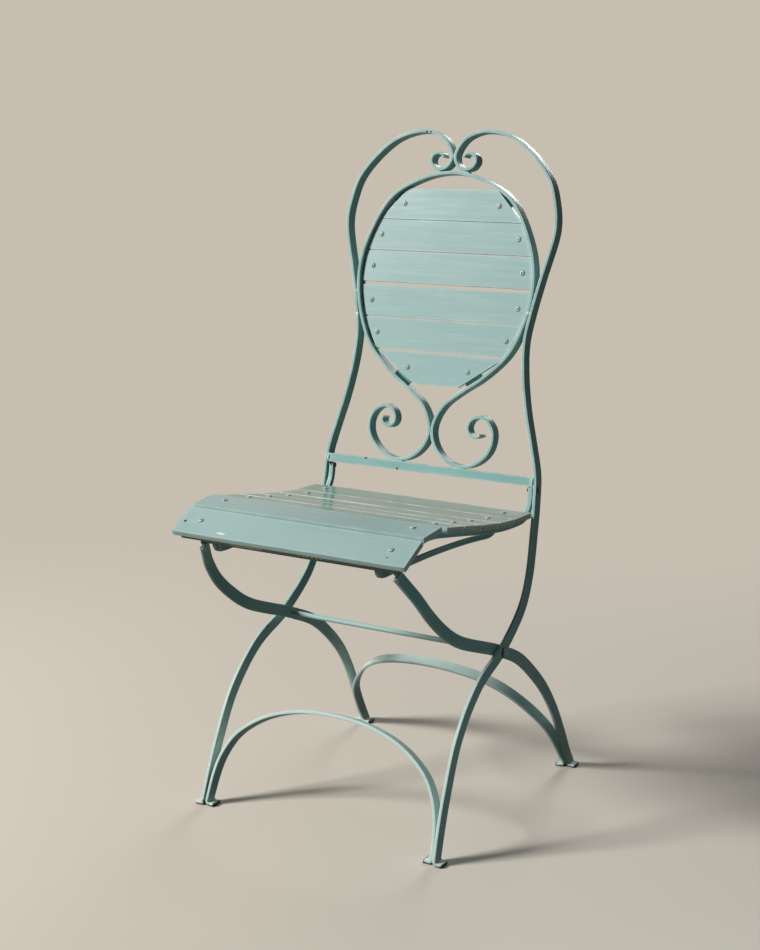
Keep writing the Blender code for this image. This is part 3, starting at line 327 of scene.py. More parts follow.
# The sat-on seat boards get a darker, warmer copy of the board paint: painted shade, with a painted warm
# reflection.
shaded_seat_paint = painted("shaded_seat_paint", (0.255, 0.365, 0.330), (0.210, 0.315, 0.285), (0.58, 0.73, 0.70),
                     OLD_WHITE, DARK_WOOD, shine=0.45, **ON_WOOD)
strip_paint = painted("strip_paint", OLIVE, (0.12, 0.07, 0.04), OCHRE, (0.80, 0.74, 0.38), DARK_RUST,
                      wear=1.0, chips=0.80, rusty=0.55, strokes=0.9, gloss=0.40,
                      relief=0.00025, shine=0.2, bared=OCHRE_PATCHES)
screw_paint = painted("screw_paint", (0.36, 0.52, 0.49), (0.22, 0.36, 0.34), (0.62, 0.76, 0.72),
                      (0.55, 0.55, 0.48), DARK_RUST,
                      wear=0.8, chips=0.45, rusty=0.55, strokes=0.3, gloss=0.26,
                      relief=0.00010, shine=0.4)
weld_paint = painted("weld_paint", (0.33, 0.50, 0.47), TEAL, (0.62, 0.76, 0.72), OLD_WHITE, DARK_RUST,
                     wear=0.5, low_wear_and_highlight=0.9, chips=0.46, rusty=0.50, strokes=0.3, gloss=0.28,
                     relief=0.00020, shine=0.2)
bare_steel = painted("bare_steel", (0.060, 0.042, 0.030), (0.030, 0.020, 0.014), (0.16, 0.13, 0.10),
                     (0.20, 0.30, 0.28), DARK_RUST,
                     wear=0.6, chips=0.6, rusty=0.8, strokes=0.4, gloss=0.45,
                     relief=0.00015, shine=0.3)


# %% [markdown]
# ## Routes
# A bent bar is described by a few points that it passes through. The curve between them is a
# smooth one, and the bar gets a new section wherever it has turned by a few degrees, so tight
# curls are as round as the long sweeps without wasting faces.

# %% Curve helpers
SECTION_TURN = math.radians(3.5)
SECTION_LONGEST = 0.012
SECTION_SHORTEST = 0.0015
FINE_STEP = 0.0008  # between the points from which the sections are chosen


def smooth_route(points):
    """Points along the smooth curve through these, closer together where it bends."""
    points = [Vector(point) for point in points]
    spans = [math.sqrt((there - here).length) for here, there in pairwise(points)]
    chords = [(there - here) / span for (here, there), span in zip(pairwise(points), spans)]
    slopes = []
    for i in range(1, len(points) - 1):
        share = spans[i - 1] / (spans[i - 1] + spans[i])
        slopes.append(chords[i - 1].lerp(chords[i], share))
    slopes.insert(0, chords[0] * 1.5 - slopes[0] * 0.5)
    slopes.append(chords[-1] * 1.5 - slopes[-1] * 0.5)
    fine = []
    for i, span in enumerate(spans):
        steps = max(4, round((points[i + 1] - points[i]).length / FINE_STEP))
        for step in range(steps):
            t = step / steps
            fine.append(points[i] * (2 * t**3 - 3 * t**2 + 1) + slopes[i] * span * (t**3 - 2 * t**2 + t)
                        + points[i + 1] * (3 * t**2 - 2 * t**3) + slopes[i + 1] * span * (t**3 - t**2))
    fine.append(points[-1])
    return thinned(fine)


def thinned(fine):
    kept = [fine[0]]
    heading = fine[1] - fine[0]
    for before, here, after in zip(fine, fine[1:], fine[2:]):
        turned = heading.angle(after - before)
        if turned > SECTION_TURN or (here - kept[-1]).length > SECTION_LONGEST:
            kept.append(here)
            heading = after - before
    if (fine[-1] - kept[-1]).length < SECTION_SHORTEST:
        kept.pop()
    return kept + [fine[-1]]


def headings(stations):
    ways = [(there - here).normalized() for here, there in pairwise(stations)]
    return [(before + after).normalized() for before, after in zip(ways[:1] + ways, ways + ways[-1:])]


# %% [markdown]
# ## Bending a bar
# On the real chair a straight bar is pulled round a former. Here it is the same: a cube is made
# a straight bar, its long corners are rounded, it is cut into short lengths, and each cut moves
# to its place on the route. What was straight is kept as the "grain" of the paint, and a slow
# noise makes the faces a little uneven, as hammered and often painted steel is.

# %% Straight stock
BAR_THICK = 0.005
BAR_DEEP = 0.0175
STRIP_THICK = 0.0052
STRIP_DEEP = 0.0078
TOUCH = 0.0003  # the gap between two pieces that touch
CORNER = 0.0009  # radius of a painted corner
RIM = 0.0016  # width of the band beside a corner that wears with it
END_SOFT = 0.0007
DRAWN_LENGTH = 0.016
DRAWN_BY = 0.45
SWAY = 0.00022  # how far a face wanders from flat
SWELL = 0.035  # the share by which the thickness varies
ACROSS = Vector((1.0, 0.0, 0.0))
REARWARD = Vector((0.0, 1.0, 0.0))
UPWARD = Vector((0.0, 0.0, 1.0))


def block(size):
    bm = bmesh.new()
    bmesh.ops.create_cube(bm, size=1.0)
    bmesh.ops.scale(bm, vec=size, verts=bm.verts)
    return bm


def soften(bm, edges, radius, segments=2):
    return bmesh.ops.bevel(bm, geom=edges, offset=radius, offset_type="OFFSET", segments=segments,
                           profile=0.5, affect="EDGES", material=-1)


def score(bm, way, at):
    """Draws new edges round the shape, in a plane square to this way."""
    geometry = bm.verts[:] + bm.edges[:] + bm.faces[:]
    bmesh.ops.bisect_plane(bm, geom=geometry, plane_co=way * at, plane_no=way)


def lengthwise(bm):
    return [e for e in bm.edges if abs(e.verts[0].co.x - e.verts[1].co.x) > 0.5]


def straight_stock(thick, deep, cuts):
    """A bar one unit long with rounded long corners, cut across into equal lengths."""
    bm = block((1.0, thick, deep))
    soften(bm, lengthwise(bm), CORNER, segments=3)
    for depth in (-(deep / 2 - CORNER - RIM), 0.0, deep / 2 - CORNER - RIM):
        score(bm, UPWARD, depth)
    score(bm, REARWARD, 0.0)
    bmesh.ops.subdivide_edges(bm, edges=lengthwise(bm), cuts=cuts, use_grid_fill=True)
    return bm


def bent_bar(stations, deep_sides, thick=BAR_THICK, deep=BAR_DEEP, seed=0.0, drawn_ends=()):
    """A bar bent along its stations; a drawn end is hammered thinner towards its tip."""
    spans = len(stations) - 1
    bm = straight_stock(thick, deep, spans - 1)
    edge = bm.verts.layers.float.new("edge")
    grain = bm.verts.layers.float_vector.new("grain")
    travelled = [0.0]
    for here, there in pairwise(stations):
        travelled.append(travelled[-1] + (there - here).length)
    ways = headings(stations)
    ends = [f for f in bm.faces if all(abs(abs(v.co.x) - 0.5) < 1e-4 for v in f.verts)]
    for vert in bm.verts:
        i = round((vert.co.x + 0.5) * spans)
        _, across, depth = vert.co
        on_corner = abs(across) > thick / 2 - CORNER - 1e-6 and abs(depth) > deep / 2 - CORNER - 1e-6
        vert[edge] = 1.0 if on_corner else 0.0
        vert[grain] = Vector((travelled[i] + seed, across, depth))
        sway = SWAY * noise.noise(Vector((travelled[i] * 22.0 + seed, depth * 30.0, seed)))
        swell = 1.0 + SWELL * noise.noise(Vector((travelled[i] * 35.0, seed, across * 90.0)))
        thin_side = ways[i].cross(deep_sides[i]).normalized()
        for end in drawn_ends:
            from_end = travelled[i] if end == 0 else travelled[-1] - travelled[i]
            across *= 1.0 - DRAWN_BY * max(0.0, 1.0 - from_end / DRAWN_LENGTH)
        vert.co = stations[i] + thin_side * (across * swell + sway) + deep_sides[i] * depth
    rims = [e for e in bm.edges if sum(f in ends for f in e.link_faces) == 1]
    for vert in soften(bm, rims, END_SOFT)["verts"]:
        vert[edge] = 1.0
    return bm


# %% Finished pieces
SHARP = math.radians(42.0)


def on_side(bm, side):
    """Shapes are made for the right side, and mirrored for the left."""
    if side < 0:
        bmesh.ops.scale(bm, vec=(-1.0, 1.0, 1.0), verts=bm.verts)
    return bm


def placed(bm, matrix):
    bmesh.ops.transform(bm, matrix=matrix, verts=bm.verts)
    return bm


def joined(shapes):
    bm = bmesh.new()
    for shape in shapes:
        mesh = bpy.data.meshes.new("joined")
        shape.to_mesh(mesh)
        shape.free()
        bm.from_mesh(mesh)
        bpy.data.meshes.remove(mesh)
    return bm


def finished(bm, name, body, finish, stands_for=()):
    """Makes the shape a piece of the chair, in its place, riding on its body."""
    if bm.verts.layers.float.get("edge") is None:
        bm.verts.layers.float.new("edge")
    if bm.verts.layers.float_vector.get("grain") is None:
        grain = bm.verts.layers.float_vector.new("grain")
        for vert in bm.verts:
            vert[grain] = vert.co
    bmesh.ops.recalc_face_normals(bm, faces=bm.faces)
    if bm.calc_volume(signed=True) < 0:
        bmesh.ops.reverse_faces(bm, faces=bm.faces)
    mesh = bpy.data.meshes.new(name)
    bm.to_mesh(mesh)
    bm.free()
    mesh.transform(Matrix.Translation((0.0, BACK_SHIFT, 0.0)))
    mesh.shade_smooth()
    mesh.set_sharp_from_angle(angle=SHARP)
    mesh.materials.append(finish)
    piece = linked(name, mesh)
    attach(piece, body)
    if stands_for:
        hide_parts(*stands_for)


def dressed(bm, node, body, finish=frame_paint):
    """Finishes the shape that stands for one solid, and names it after the solid."""
    look = "worn" if finish is bare_steel else "painted"
    finished(bm, f"{look}_{node}", body, finish, [node])


SIDES = ((-1, "left"), (1, "right"))

# %% [markdown]
# ## The lyre back
# One long bar makes the oval and both big scrolls, and the two side bars run from the front
# feet up to the lobes and small scrolls at the top. Above the seat all of them lie in one plane
# that leans back, so their places can be given by half width and height alone.

# %% Plane of the back
BACK_BASE = 0.0175
BACK_TILT = math.radians(8.96)
BACK_NORMAL = Vector((0.0, math.cos(BACK_TILT), -math.sin(BACK_TILT)))
BACK_UP = Vector((0.0, math.sin(BACK_TILT), math.cos(BACK_TILT)))
RAIL_TOP = 0.4706
OVAL_TOP = 0.8943
NECK = 0.5210
TOUCH_SIDE = 0.7060


def on_back(half_width, height, depth=0.0):
    plane = Vector((half_width, BACK_BASE + math.tan(BACK_TILT) * height, height))
    return plane + BACK_NORMAL * depth


# %% Lyre bar
OVAL = [(0.0500, 0.8855), (0.1012, 0.8570), (0.1340, 0.8025), (0.1460, 0.7600), (0.1460, 0.7200),
        (0.1332, 0.6710), (0.1155, 0.6376), (0.0790, 0.6025), (0.0455, 0.5800), (0.0200, 0.5600),
        (0.0075, 0.5410)]
BIG_SCROLL_FOOT = 0.0525
BIG_SCROLL = [(-0.0445, 0.0280), (-0.0330, 0.0135), (-0.0180, 0.0040), (0.0, 0.0), (0.0150, 0.0016),
              (0.0315, 0.0092), (0.0450, 0.0228), (0.0508, 0.0392), (0.0497, 0.0560), (0.0415, 0.0682),
              (0.0312, 0.0737), (0.0203, 0.0728), (0.0120, 0.0665), (0.0090, 0.0575), (0.0120, 0.0492),
              (0.0195, 0.0447), (0.0262, 0.0450), (0.0310, 0.0476)]
# The left one was bent by hand a little larger, and its tip curls further.
LEFT_SCROLL = BIG_SCROLL[:4] + [(0.0180, 0.0032), (0.0344, 0.0123), (0.0458, 0.0235), (0.0525, 0.0352),
                                (0.0547, 0.0450), (0.0537, 0.0565), (0.0484, 0.0668), (0.0400, 0.0742),
                                (0.0306, 0.0773), (0.0218, 0.0760), (0.0150, 0.0712), (0.0113, 0.0649),
                                (0.0104, 0.0579), (0.0134, 0.0516), (0.0205, 0.0480), (0.0278, 0.0496),
                                (0.0318, 0.0540), (0.0318, 0.0585), (0.0296, 0.0610)]


def lyre_half(scroll):
    foot_z = RAIL_TOP + (TOUCH + BAR_THICK / 2) * math.cos(BACK_TILT)
    route = [(-OVAL[0][0], OVAL[0][1]), (0.0, OVAL_TOP)] + OVAL + [((BAR_THICK + TOUCH) / 2, NECK)]
    route += [(BIG_SCROLL_FOOT + x, foot_z + z) for x, z in scroll]
    stations = smooth_route([on_back(x, z, BAR_DEEP / 2) for x, z in route])
    first = next(i for i, station in enumerate(stations) if station.x > 0.004)
    return stations[first:]


right_half = lyre_half(BIG_SCROLL)
left_half = [Vector((-s.x, s.y, s.z)) for s in reversed(lyre_half(LEFT_SCROLL))]
lyre = left_half + [on_back(0.0, OVAL_TOP, BAR_DEEP / 2)] + right_half
dressed(bent_bar(lyre, [BACK_NORMAL] * len(lyre), seed=3.1, drawn_ends=(0, 1)), "lyre_bar", "long_frame")

# %% [markdown]
# ## Side bars and feet
# A side bar starts as a toe, bent flat on the floor and turned out. It sweeps rearward and up,
# crosses the rear leg, stands up behind the seat, leans against the oval, opens into the lobe
# and ends in the small scroll. Close to the floor the bar is twisted square to it.

# %% Side bars
TOE = 0.0115
TOE_BEND = 0.005
TOE_STEPS = 6
TWIST_HEIGHT = 0.045
FRONT_FOOT = -0.2055
SIDE_AT_FLOOR, SIDE_LEAN = 0.1935, 0.0312
BACK_STARTS = 0.4376
LEG_CURVE = [(-0.1915, 0.0485), (-0.1748, 0.0896), (-0.1420, 0.1534), (-0.0848, 0.2110),
             (-0.0131, 0.2456), (0.0458, 0.2904), (0.0679, 0.3267), (0.0869, 0.3963)]
BACK_CURVE = [(0.1775, 0.4740), (0.1656, 0.5204), (0.1530, 0.5663), (0.1445, 0.6126), (0.1415, 0.6580)]
LOBE = [(0.1592, 0.7500), (0.1748, 0.8180), (0.1704, 0.8552), (0.1560, 0.8912), (0.1012, 0.9418),
        (0.0505, 0.9539), (0.0204, 0.9448), (0.0075, 0.9310)]
LOBE_TOUCH = 0.9180
SMALL_SCROLL_FOOT = 0.0225
SMALL_SCROLL = [(-0.0172, 0.0092), (-0.0098, 0.0020), (0.0, 0.0), (0.0095, 0.0030), (0.0148, 0.0117),
                (0.0120, 0.0202), (0.0035, 0.0231), (-0.0024, 0.0213), (-0.0052, 0.0172)]


def side_x(height):
    """Half width between the side bars below the back: they lean in as they rise."""
    return SIDE_AT_FLOOR - SIDE_LEAN * height


def oval_x(height):
    """Half width of the oval's centre line."""
    for above, below in pairwise(right_half):
        if below.z <= height <= above.z:
            share = (above.z - height) / (above.z - below.z)
            return above.x + (below.x - above.x) * share


def toe(foot_x, foot_y, outward):
    stations = [Vector((foot_x + outward * TOE, foot_y, BAR_THICK / 2))]
    for step in range(TOE_STEPS + 1):
        angle = math.pi / 2 * step / TOE_STEPS
        x = foot_x + outward * TOE_BEND * (1 - math.sin(angle))
        stations.append(Vector((x, foot_y, BAR_THICK / 2 + TOE_BEND * (1 - math.cos(angle)))))
    return stations


def standing(stations, sideways):
    """Deep sides of a bar that stands on a toe and bends in a plane square to this direction."""
    found = []
    for here, way in zip(stations, headings(stations)):
        share = min(1.0, max(0.0, (here.z - TOE_BEND) / (TWIST_HEIGHT - TOE_BEND)))
        free = way.cross(ACROSS).normalized() if sideways is None else sideways
        flat = here.z < BAR_THICK / 2 + TOE_BEND * 0.99
        found.append(REARWARD if flat else (REARWARD * (1 - share) + free * share).normalized())
    return found


def side_bar_route():
    foot_x = side_x(0.0)
    scroll_z = OVAL_TOP + BAR_THICK + TOUCH
    start = (foot_x, FRONT_FOOT, BAR_THICK / 2 + TOE_BEND)
    leg = [(side_x(z), y, z) for y, z in LEG_CURVE]
    back = [(side_x(BACK_STARTS), BACK_STARTS)] + BACK_CURVE
    back.append((oval_x(TOUCH_SIDE) + BAR_THICK + TOUCH, TOUCH_SIDE))
    back += LOBE + [((BAR_THICK + TOUCH) / 2, LOBE_TOUCH)]
    back += [(SMALL_SCROLL_FOOT + x, scroll_z + z) for x, z in SMALL_SCROLL]
    rising = smooth_route([start] + leg + [on_back(x, z, BAR_DEEP / 2) for x, z in back])
    return toe(foot_x, FRONT_FOOT, 1)[:-1] + rising


side_route = side_bar_route()
side_deep = standing(side_route, None)
side_deep = [BACK_NORMAL if s.z > BACK_STARTS else d for s, d in zip(side_route, side_deep)]
for side, word in SIDES:
    bar = bent_bar(side_route, side_deep, seed=11.0 + side, drawn_ends=(1,))
    dressed(on_side(bar, side), f"side_bar_{word}", "long_frame")

# %% [markdown]
# ## Arches
# Each pair of feet is held apart by an arch of the same bar, with its own toes turned in. The
# front one leans back with the legs and the rear one leans forward.

# %% Arches
FRONT_ARCH = [(0.1830, 0.0520), (0.1750, 0.0760), (0.1610, 0.0990), (0.1403, 0.1170), (0.1128, 0.1330),
              (0.0778, 0.1450), (0.0400, 0.1515)]
REAR_ARCH = [(0.1778, 0.0500), (0.1722, 0.0730), (0.1608, 0.0935), (0.1350, 0.1225), (0.1080, 0.1415),
             (0.0780, 0.1526), (0.0400, 0.1592)]
FRONT_ARCH_TOP, REAR_ARCH_TOP = 0.1535, 0.1614
FRONT_LEAN, REAR_LEAN, REAR_TURN = math.radians(19.5), math.radians(-33.2), math.radians(-20.0)
REAR_FOOT_X = 0.1872
REAR_FOOT = 0.2100


def arch(half, top_z, tilt, turn, foot_x, foot_y, seed):
    right = [(foot_x, BAR_THICK / 2 + TOE_BEND)] + half
    points = right + [(0.0, top_z)] + [(-x, z) for x, z in reversed(right)]
    stations = smooth_route([(x, foot_y + math.tan(tilt) * z, z) for x, z in points])
    right_toe = [Vector((s.x, stations[0].y, s.z)) for s in toe(foot_x, foot_y, -1)]
    left_toe = [Vector((-s.x, s.y, s.z)) for s in reversed(right_toe)]
    stations = right_toe[:-1] + stations + left_toe[1:]
    normal = Vector((0.0, math.cos(turn), -math.sin(turn)))
    return bent_bar(stations, standing(stations, normal), seed=seed)


front_x = side_x(TOE_BEND + BAR_THICK / 2) - BAR_THICK - TOUCH
rear_x = REAR_FOOT_X - BAR_THICK - TOUCH
dressed(arch(FRONT_ARCH, FRONT_ARCH_TOP, FRONT_LEAN, FRONT_LEAN, front_x, FRONT_FOOT, 21.0),
        "front_arch", "long_frame")
dressed(arch(REAR_ARCH, REAR_ARCH_TOP, REAR_LEAN, REAR_TURN, rear_x, REAR_FOOT, 27.0),
        "rear_arch", "short_frame")

# %% [markdown]
# ## Rear legs
# The rear legs cross the side bars at the pivot and end under the front of the seat in a small
# ear, which holds the rod that slides when the chair folds.

# %% Rear legs
LEG_PIVOT = (-0.0106, 0.2415)
ROD = (-0.2445, 0.40519)
EAR_X = 0.1550
REAR_LEG = [(0.1864, 0.1990, 0.0250), (0.1846, 0.1785, 0.0680), (0.1822, 0.1550, 0.1110),
            (0.1798, 0.1280, 0.1480), (0.1780, 0.0970, 0.1785), (0.1768, 0.0520, 0.2130),
            (0.1762, *LEG_PIVOT), (0.1748, -0.1200, 0.2830), (0.1740, -0.1585, 0.3070),
            (0.1730, -0.1935, 0.3365), (0.1680, -0.2190, 0.3665), (0.1600, -0.2355, 0.3880),
            (0.1553, -0.2444, 0.4003)]


def turned(profile, matrix, sides=24):
    """A profile of radius and height turned about Z, then placed."""
    bm = bmesh.new()
    verts = [bm.verts.new((radius, 0.0, height)) for radius, height in profile]
    edges = [bm.edges.new(pair) for pair in pairwise(verts)]
    bmesh.ops.spin(bm, geom=verts + edges, cent=(0, 0, 0), axis=(0, 0, 1), angle=2 * math.pi,
                   steps=sides, use_merge=True, use_duplicate=False)
    bmesh.ops.remove_doubles(bm, verts=bm.verts, dist=1e-6)
    return placed(bm, matrix)


def along_x(x, y, z):
    return Matrix.Translation((x, y, z)) @ Matrix.Rotation(math.pi / 2, 4, "Y")


def rounded_disc(radius, thick, soft, bore=0.0):
    """Profile of a flat disc or ring, thick along its axis, with softened rims."""
    half = thick / 2
    outer = [(radius - soft, half), (radius - soft * 0.3, half - soft * 0.3), (radius, half - soft)]
    outer += [(r, -h) for r, h in reversed(outer)]
    return [(bore, half)] + outer + [(bore, -half)] + ([(bore, half)] if bore else [])


foot = (REAR_FOOT_X, REAR_FOOT)
start = (*foot, BAR_THICK / 2 + TOE_BEND)
rear_route = toe(*foot, 1)[:-1] + smooth_route([start] + REAR_LEG)
for side, word in SIDES:
    bar = bent_bar(rear_route, standing(rear_route, None), seed=31.0 + side)
    ear = turned(rounded_disc(0.0055, BAR_THICK, 0.0008), along_x(EAR_X, *ROD))
    dressed(on_side(joined([bar, ear]), side), f"rear_leg_{word}", "short_frame")

# %% [markdown]
# ## Seat irons
# The seat boards lie on two light strips, bent down behind the front board. Two more strips
# under them guide the rod. A flat bar ties the front together.

# %% Seat rails and guides
FRONT_FOOT_OF_BOARD = (-0.2738, 0.4159)
BOARD_SLOPE = math.radians(31.0)
TIE_START, TIE_WIDTH, TIE_THICK = 0.0020, 0.0310, 0.0053
RAIL_X = 0.1708
RAIL_THICK = 0.0074
RAIL_PAST_PIN = 0.0036
GUIDE_X = 0.1300
SEAT_PIVOT = (0.0955, 0.4515)
SEAT_RAIL = [(-0.2080, 0.4419), (-0.1840, 0.4419), (-0.1500, 0.4369), (-0.1030, 0.4292),
             (-0.0540, 0.4208), (-0.0025, 0.4140), (0.0300, 0.4119), (0.0500, 0.4117),
             (0.0660, 0.4125), (0.0820, 0.4180), (0.0910, 0.4300), (0.0942, 0.4410), SEAT_PIVOT]
GUIDE = [(-0.2526, 0.4080), (-0.2500, 0.4010), (-0.2430, 0.3975), (-0.1840, 0.3982), (-0.1240, 0.3986),
         (-0.0700, 0.3974), (-0.0140, 0.3947), (0.0150, 0.3924), (0.0440, 0.3903), (0.0570, 0.3930),
         (0.0640, 0.4010), (0.0650, 0.4060)]


def on_slope(along, above=0.0):
    y, z = FRONT_FOOT_OF_BOARD
    return (y + along * math.cos(BOARD_SLOPE) - above * math.sin(BOARD_SLOPE),
            z + along * math.sin(BOARD_SLOPE) + above * math.cos(BOARD_SLOPE))


rail = [on_slope(TIE_START + TIE_WIDTH + TOUCH, -TOUCH - STRIP_DEEP / 2),
        on_slope(0.0440, -TOUCH - STRIP_DEEP / 2)] + SEAT_RAIL
rail.append((SEAT_PIVOT[0], SEAT_PIVOT[1] + RAIL_PAST_PIN))
rail = smooth_route([(RAIL_X, y, z) for y, z in rail])
guide_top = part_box("guide_right")[1].z
guide = [(GUIDE_X, -0.2526, on_slope(0.0145, -TIE_THICK)[1])] + [(GUIDE_X, y, z) for y, z in GUIDE]
guide.append((GUIDE_X, 0.0650, guide_top - 0.0003))
guide = smooth_route(guide)
strips = (("seat_rail", rail, RAIL_THICK, 41.0), ("guide", guide, STRIP_THICK, 47.0))
for side, word in SIDES:
    for name, route, thick, seed in strips:
        deep_sides = [way.cross(ACROSS).normalized() for way in headings(route)]
        strip = bent_bar(route, deep_sides, thick, STRIP_DEEP, seed + side)
        dressed(on_side(strip, side), f"{name}_{word}", "seat")

# %% [markdown]
# ## Flat stock from the solids
# A board is a straight piece, so its place, tilt and size can be measured from its solid: the
# faces on its outer side give its normal, and the reach of its corners the rest. Measuring saves
# writing the same numbers twice, and the dressed board can't drift away from its solid.

# %% Measuring a flat piece
def flat_place(node, facing):
    """A flat piece's place and size; the place has X along it and Z out of the face that looks this way."""
    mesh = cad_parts[node].data
    normal = Vector()
    for face in mesh.polygons:
        if face.normal.dot(Vector(facing)) > 0.8:
            normal += face.normal * face.area
    normal.x = 0.0
    normal.normalize()
    side = normal.cross(ACROSS)
    axes = (ACROSS, side, normal)
    reaches = [[axis.dot(v.co) for v in mesh.vertices] for axis in axes]
    low, high = [min(reach) for reach in reaches], [max(reach) for reach in reaches]
    middle = sum((axis * (a + b) / 2 for axis, a, b in zip(axes, low, high)), Vector())
    middle.y -= BACK_SHIFT
    turn = Matrix(axes).transposed().to_4x4()
    return Matrix.Translation(middle) @ turn, Vector(high) - Vector(low)


NEAT, WORN_ROUND = 0.0022, 0.0036  # radius of the edges of a seat board's face
# Width of the pale band beside a board's edges: wear, and on the seat's seams a painted highlight.
PALE_BAND = 0.0014
UNDER_WORN = 0.35  # an underside wears no more than this
# Board ends are darker below the face: dirt and painted shade.
END_DIRT_AND_SHADE = 0.25
ROW = 0.0006  # a narrow row of faces keeps wear or grime from bleeding into the next face
SLICE = 0.006
WANDER = 0.00018  # how far a side strays from straight
NICK = 0.0014
NICKED_ABOVE = 0.42  # the noise that it takes to nick a side
WARP = 0.00035
STAYS_LEVEL = 0.2  # where a raised board keeps its height, as a share of its width behind the middle


def board(size, soft_face, soft_rest, seed, taper=None, dirt_and_shade_in_gaps=0.0, worn=1.0, lift=0.0):
    """A board of this length, width and thickness, face up; lift tilts it with its front edge up."""
    bm = block(size)
    half_length, half_width, half_thick = (reach / 2 for reach in size)
    face_edges = [e for e in bm.edges if all(v.co.z > 0 for v in e.verts)]
    soften(bm, [e for e in bm.edges if e not in face_edges], soft_rest)
    face_edges = [e for e in bm.edges if all(v.co.z > half_thick - 1e-5 for v in e.verts)]
    soften(bm, [e for e in face_edges if e.calc_length() > 0.01], soft_face, segments=4)
    inner = half_width - soft_face - PALE_BAND
    for across in (-inner, -inner + ROW, -inner / 3, inner / 3, inner - ROW, inner):
        score(bm, REARWARD, across)
    for level in (half_thick - soft_face - ROW, -half_thick + soft_rest + ROW):
        score(bm, UPWARD, level)
    slices = round(size[0] / SLICE)
    for i in range(1, slices):
        x = size[0] * (i / slices - 0.5)
        if abs(x) < half_length - soft_face - 0.001:
            score(bm, ACROSS, x)
    edge = bm.verts.layers.float.new("edge")
    grime_and_shade = bm.verts.layers.float.new("grime_and_shade")
    grain = bm.verts.layers.float_vector.new("grain")
    for vert in bm.verts:
        x, y, z = vert.co
        near_side = abs(y) > half_width - soft_face - 1e-6
        near_end = abs(x) > half_length - soft_face - 1e-6
        near_face = z > half_thick - soft_face - 1e-6 or z < -half_thick + soft_rest + 1e-6
        # The band beside the face's edges is pale with them: wear, and on the seat's seams a painted
        # highlight.
        in_band = z > 0 and abs(y) > inner + 1e-4
        side_pale = worn if z > 0 else min(worn, UNDER_WORN)
        vert[edge] = side_pale if near_face and (near_side or near_end or in_band) else 0.0
        # Sides in the gaps and the ends are darker below the face: dirt and painted shade.
        below_face = z < half_thick - soft_face * 0.6
        vert[grime_and_shade] = (dirt_and_shade_in_gaps if near_side else END_DIRT_AND_SHADE if near_end else 0.0) if below_face else 0.0
        vert[grain] = Vector((x + seed, y, z))
        wander = noise.noise(Vector((x * 26.0, seed, math.copysign(3.0, y))))
        nick = noise.noise(Vector((x * 95.0, seed + 7.0, math.copysign(5.0, y)))) - NICKED_ABOVE
        if near_side:
            vert.co.y -= math.copysign(WANDER * wander + NICK * max(0.0, nick), y)
        warp = WARP * noise.noise(Vector((x * 6.0, y * 22.0, seed)))
        vert.co.z += warp + lift * (STAYS_LEVEL - y / size[1])
        if taper:
            vert.co.x *= taper[0] + (taper[1] - taper[0]) * (y / size[1] + 0.5)
    return bm


def end_reach(node, high):
    """Half length of a board's upper or lower edge."""
    points = [v.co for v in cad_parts[node].data.vertices]
    edge_z = max(p.z for p in points) if high else min(p.z for p in points)
    return max(abs(p.x) for p in points if abs(p.z - edge_z) < 0.0030)


# %% Seat boards
SEAT_BOARDS = ["front_board"] + [f"seat_board_{i}" for i in range(2, 8)]
SAT_ON = SEAT_BOARDS[2:]  # worn round, and no longer quite level
LEAST_LIFT, MORE_LIFT = 0.0011, 0.0002
places = {}
for i, node in enumerate(SEAT_BOARDS):
    place, size = places[node] = flat_place(node, (0, -0.35, 0.94))
    soft, worn, lift, finish = NEAT, 0.35, 0.0, board_paint
    # Sat-on boards get pale seam edges, partly wear and partly painted highlight, and the darker seat
    # paint, which is painted shade.
    if node in SAT_ON:
        soft, worn, lift, finish = WORN_ROUND, 1.0, LEAST_LIFT + MORE_LIFT * (i % 3), shaded_seat_paint
    shape = board(size, soft, 0.0006, 60.0 + i, worn=worn, lift=lift)
    dressed(placed(shape, place), node, "seat", finish)

# %% Back boards
BACK_BOARDS = [f"back_board_{i}" for i in range(1, 7)]
for i, node in enumerate(BACK_BOARDS):
    place, size = places[node] = flat_place(node, (0, -1, 0.15))
    longest = size.x / 2
    taper = (end_reach(node, False) / longest, end_reach(node, True) / longest)
    if place.to_3x3().col[1].z < 0:
        taper = (taper[1], taper[0])
    # Their sides in the gaps are darkened: dirt and painted shade.
    shape = board(size, 0.0012, 0.0005, 80.0 + i, taper, dirt_and_shade_in_gaps=0.85, worn=0.35)
    dressed(placed(shape, place), node, "long_frame", board_paint)

# %% Rail and tie bar
for node, body, facing, finish in (("cross_rail", "long_frame", (0, -1, 0.15), frame_paint),
                                   ("seat_tie_bar", "seat", (0, -0.5, 0.86), strip_paint)):
    place, size = flat_place(node, facing)
    dressed(placed(board(size, 0.0008, 0.0006, 90.0), place), node, body, finish=finish)

# %% [markdown]
# ## Screws
# Each board is held by two screws with domed heads, on a small washer, painted over with the
# board. Behind the board a lug is welded to the bar, or the tie bar runs, and a nut closes the
# screw. From behind the nuts and the ends of the screws are what one sees.

# %% Screws and nuts
LUG_THICK = 0.003
SHANK = 0.0018
SHANK_TIP = SHANK * 0.7
NUT_RADIUS, NUT_DEPTH = 0.0037, 0.0024
ON_RAISED = 0.0003  # how much higher a screw sits on a board that has tilted
RECESS = [(0.0, 0.0004), (0.0008, 0.0005), (0.0010, 0.0014)]
HEAD = [(0.0013, 0.0018), (0.0018, 0.0018), (0.0026, 0.0015), (0.0032, 0.0010), (0.0034, 0.0006),
        (0.0036, 0.0006), (0.0043, 0.0005), (0.0044, 0.0003), (0.0044, 0.00005)]


